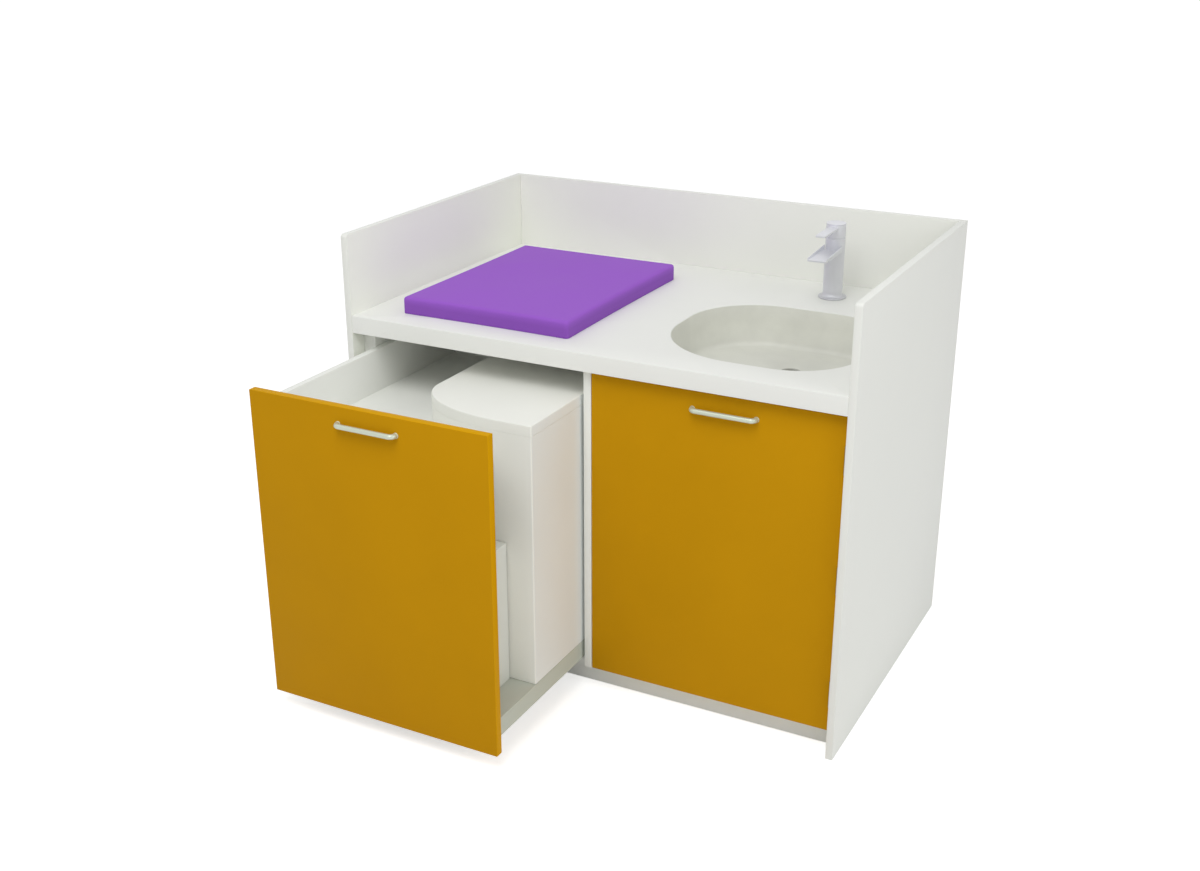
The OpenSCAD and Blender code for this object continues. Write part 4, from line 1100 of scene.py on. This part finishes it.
def makeTray():  # shelf cut round the tall bin
    low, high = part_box("pullout_tray")
    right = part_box("pullout_front")[1].x - tray["short"]
    clear = tray["clear"]
    centre = (binLow.x + bins["curveWide"], binLow.y + bins["curveDeep"])
    wide, deep = bins["curveWide"] + clear, bins["curveDeep"] + clear
    back = binHigh.y + clear
    points = [(low.x, low.y), (right, low.y)]
    reach = math.sqrt(max(0.0, 1 - ((right - centre[0]) / wide) ** 2))
    points.append((right, centre[1] - deep * reach))  # where the tray's end meets the curve
    turns = [math.radians(270 - 90 * i / tray["steps"]) for i in range(tray["steps"] + 1)]
    curve = [(centre[0] + wide * math.cos(t), centre[1] + deep * math.sin(t)) for t in turns]
    points += [point for point in curve if point[0] < right]
    points += [(binLow.x - clear, back), (high.x, back), (high.x, high.y), (low.x, high.y)]
    bm = bmesh.new()
    verts = [bm.verts.new((x, y, low.z)) for x, y in points]
    fillFlat(bm, [bm.edges.new(pair) for pair in zip(verts, verts[1:] + verts[:1])])
    thicken(bm, high.z - low.z)
    skinNode("pullout_tray", bm, "pullout", ["whiteBoard"], 30)


makeBase()
makeTallBin()
makeLowBin()
makeTray()
print("pull-out made")


# Mat

mat = {
    "swell": 1 * mm,  # past the solid at the left
    "corner": 8 * mm,
    "topRound": 13 * mm,
    "hem": 2 * mm,
    "segments": 8,
    "draw": 2.6 * mm,
    "drawPower": 6,
    "crown": 4 * mm,
    "crownPower": 2.6,
    "crownFrom": 0.6,  # share of the side's height
    "columns": 56,
    "rows": 72,
    "levels": (0.3, 0.5, 0.68),
}


def makeMat():
    low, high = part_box("changing_mat")
    low = low - Vector((mat["swell"], 0, 0))
    centre = (low + high) / 2
    half = (high - low) / 2
    sideTop = high.z - mat["crown"]
    bm = bmesh.new()
    block = bmesh.ops.create_cube(bm, size=1.0)["verts"]
    bmesh.ops.scale(bm, vec=(2 * half.x, 2 * half.y, sideTop - low.z), verts=block)
    bmesh.ops.translate(bm, vec=(centre.x, centre.y, (low.z + sideTop) / 2), verts=block)
    upright = [e for e in bm.edges if abs(e.verts[0].co.z - e.verts[1].co.z) > touching]
    bevelEdges(bm, upright, mat["corner"], mat["segments"])
    for level, radius, segments in ((sideTop, mat["topRound"], mat["segments"]), (low.z, mat["hem"], 3)):
        rim = [e for e in bm.edges if all(abs(v.co.z - level) < touching for v in e.verts)
               and any(abs(f.normal.z) < facing for f in e.link_faces)]
        bevelEdges(bm, rim, radius, segments)
    for i in range(1, mat["columns"]):
        cutAcross(bm, (low.x + 2 * half.x * i / mat["columns"], 0, 0), (1, 0, 0))
    for i in range(1, mat["rows"]):
        cutAcross(bm, (0, low.y + 2 * half.y * i / mat["rows"], 0), (0, 1, 0))
    for share in mat["levels"]:
        cutAcross(bm, (0, 0, low.z + (sideTop - low.z) * share), (0, 0, 1))
    for v in bm.verts:  # sides drawn in between the corners, top crowned
        u = (v.co.x - centre.x) / half.x
        w = (v.co.y - centre.y) / half.y
        rise = (v.co.z - low.z) / (sideTop - low.z)
        v.co.x -= mat["draw"] * math.copysign(abs(u) ** mat["drawPower"], u) * math.cos(w * math.pi / 2)
        v.co.y -= mat["draw"] * math.copysign(abs(w) ** mat["drawPower"], w) * math.cos(u * math.pi / 2)
        if rise > mat["crownFrom"]:
            dome = (1 - abs(u) ** mat["crownPower"]) * (1 - abs(w) ** mat["crownPower"])
            v.co.z += mat["crown"] * dome * (rise - mat["crownFrom"]) / (1 - mat["crownFrom"])
    piece = makePiece("mat_cushion", bm, "mat", ["matCover"], ["changing_mat"], 80)


makeMat()
print("mat made")


# Carried-over nodes

carried = {
    "zincSteel": ["basin_clips", "basin_clip_screws", "tap_lift_pin", "tap_shank", "tap_nut",
                  "pullout_handle_screws", "door_handle_screws", "runner_fixed", "runner_screws",
                  "runner_middle", "runner_moving", "hinge_fixed_leaves", "hinge_door_leaves", "hinge_pins",
                  "hinge_fixed_screws", "hinge_door_screws"],
    "trapPlastic": ["trap_outlet"],
    "darkPlastic": ["tap_cartridge", "tap_collar"],
    "copperPipe": ["tap_inlets"],
    "dowelWood": ["panel_dowels"],
}
for label, names in carried.items():
    for nodeName in names:
        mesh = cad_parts[nodeName].data
        mesh.materials.clear()
        mesh.materials.append(materials[label])
print("carried nodes finished")


# Floor, world and lamps

light = {
    "world": 0.53,
    "floorSize": 30,
    "floorColor": 0.87,
    "floorRough": 0.9,
    "floorGlow": 0.56,
    "aim": (0, 0, 0.5),
    "key": (96, 3.2, (0.3, -2.8, 4.9)),  # power, size and place
    "fill": (29.5, 3.0, (3.8, -1.0, 2.4)),
}


def seenRays(tree):  # rays that look at the background: from the camera, off gloss and through glass
    path = addNode(tree, "LightPath").outputs
    first = addMath(tree, "MAXIMUM", path["Is Camera Ray"], path["Is Glossy Ray"])
    return addMath(tree, "MAXIMUM", first, path["Is Transmission Ray"])


def makeFloor():
    bm = bmesh.new()
    bmesh.ops.create_grid(bm, x_segments=1, y_segments=1, size=light["floorSize"])
    mesh = bpy.data.meshes.new("floor")
    bm.to_mesh(mesh)
    bm.free()
    floor = bpy.data.objects.new("floor", mesh)
    scene.collection.objects.link(floor)
    material = bpy.data.materials.new("paleFloor")
    material.use_nodes = True
    tree = material.node_tree
    connect(tree, tree.nodes["Principled BSDF"], {
        "Base Color": (light["floorColor"],) * 3 + (1,),
        "Roughness": light["floorRough"],
        "Specular IOR Level": 0.0,
        "Emission Color": (1, 1, 1, 1),
        "Emission Strength": addMath(tree, "MULTIPLY", seenRays(tree), light["floorGlow"]),
    })
    mesh.materials.append(material)


def makeWorld():
    world = bpy.data.worlds.new("studio")
    scene.world = world
    world.use_nodes = True
    tree = world.node_tree
    strength = addRange(tree, seenRays(tree), toMin=light["world"])
    connect(tree, tree.nodes["Background"], {"Color": (1, 1, 1, 1), "Strength": strength})


def makeLamp(name, power, size, place):
    data = bpy.data.lights.new(name, "AREA")
    data.energy = power
    data.shape = "DISK"
    data.size = size
    lamp = bpy.data.objects.new(name, data)
    lamp.location = place
    lamp.rotation_euler = (Vector(light["aim"]) - Vector(place)).to_track_quat("-Z", "Y").to_euler()
    scene.collection.objects.link(lamp)


makeFloor()
makeWorld()
for lampName in ("key", "fill"):
    makeLamp(lampName, *light[lampName])
scene.view_settings.view_transform = "Standard"

print("stage made")
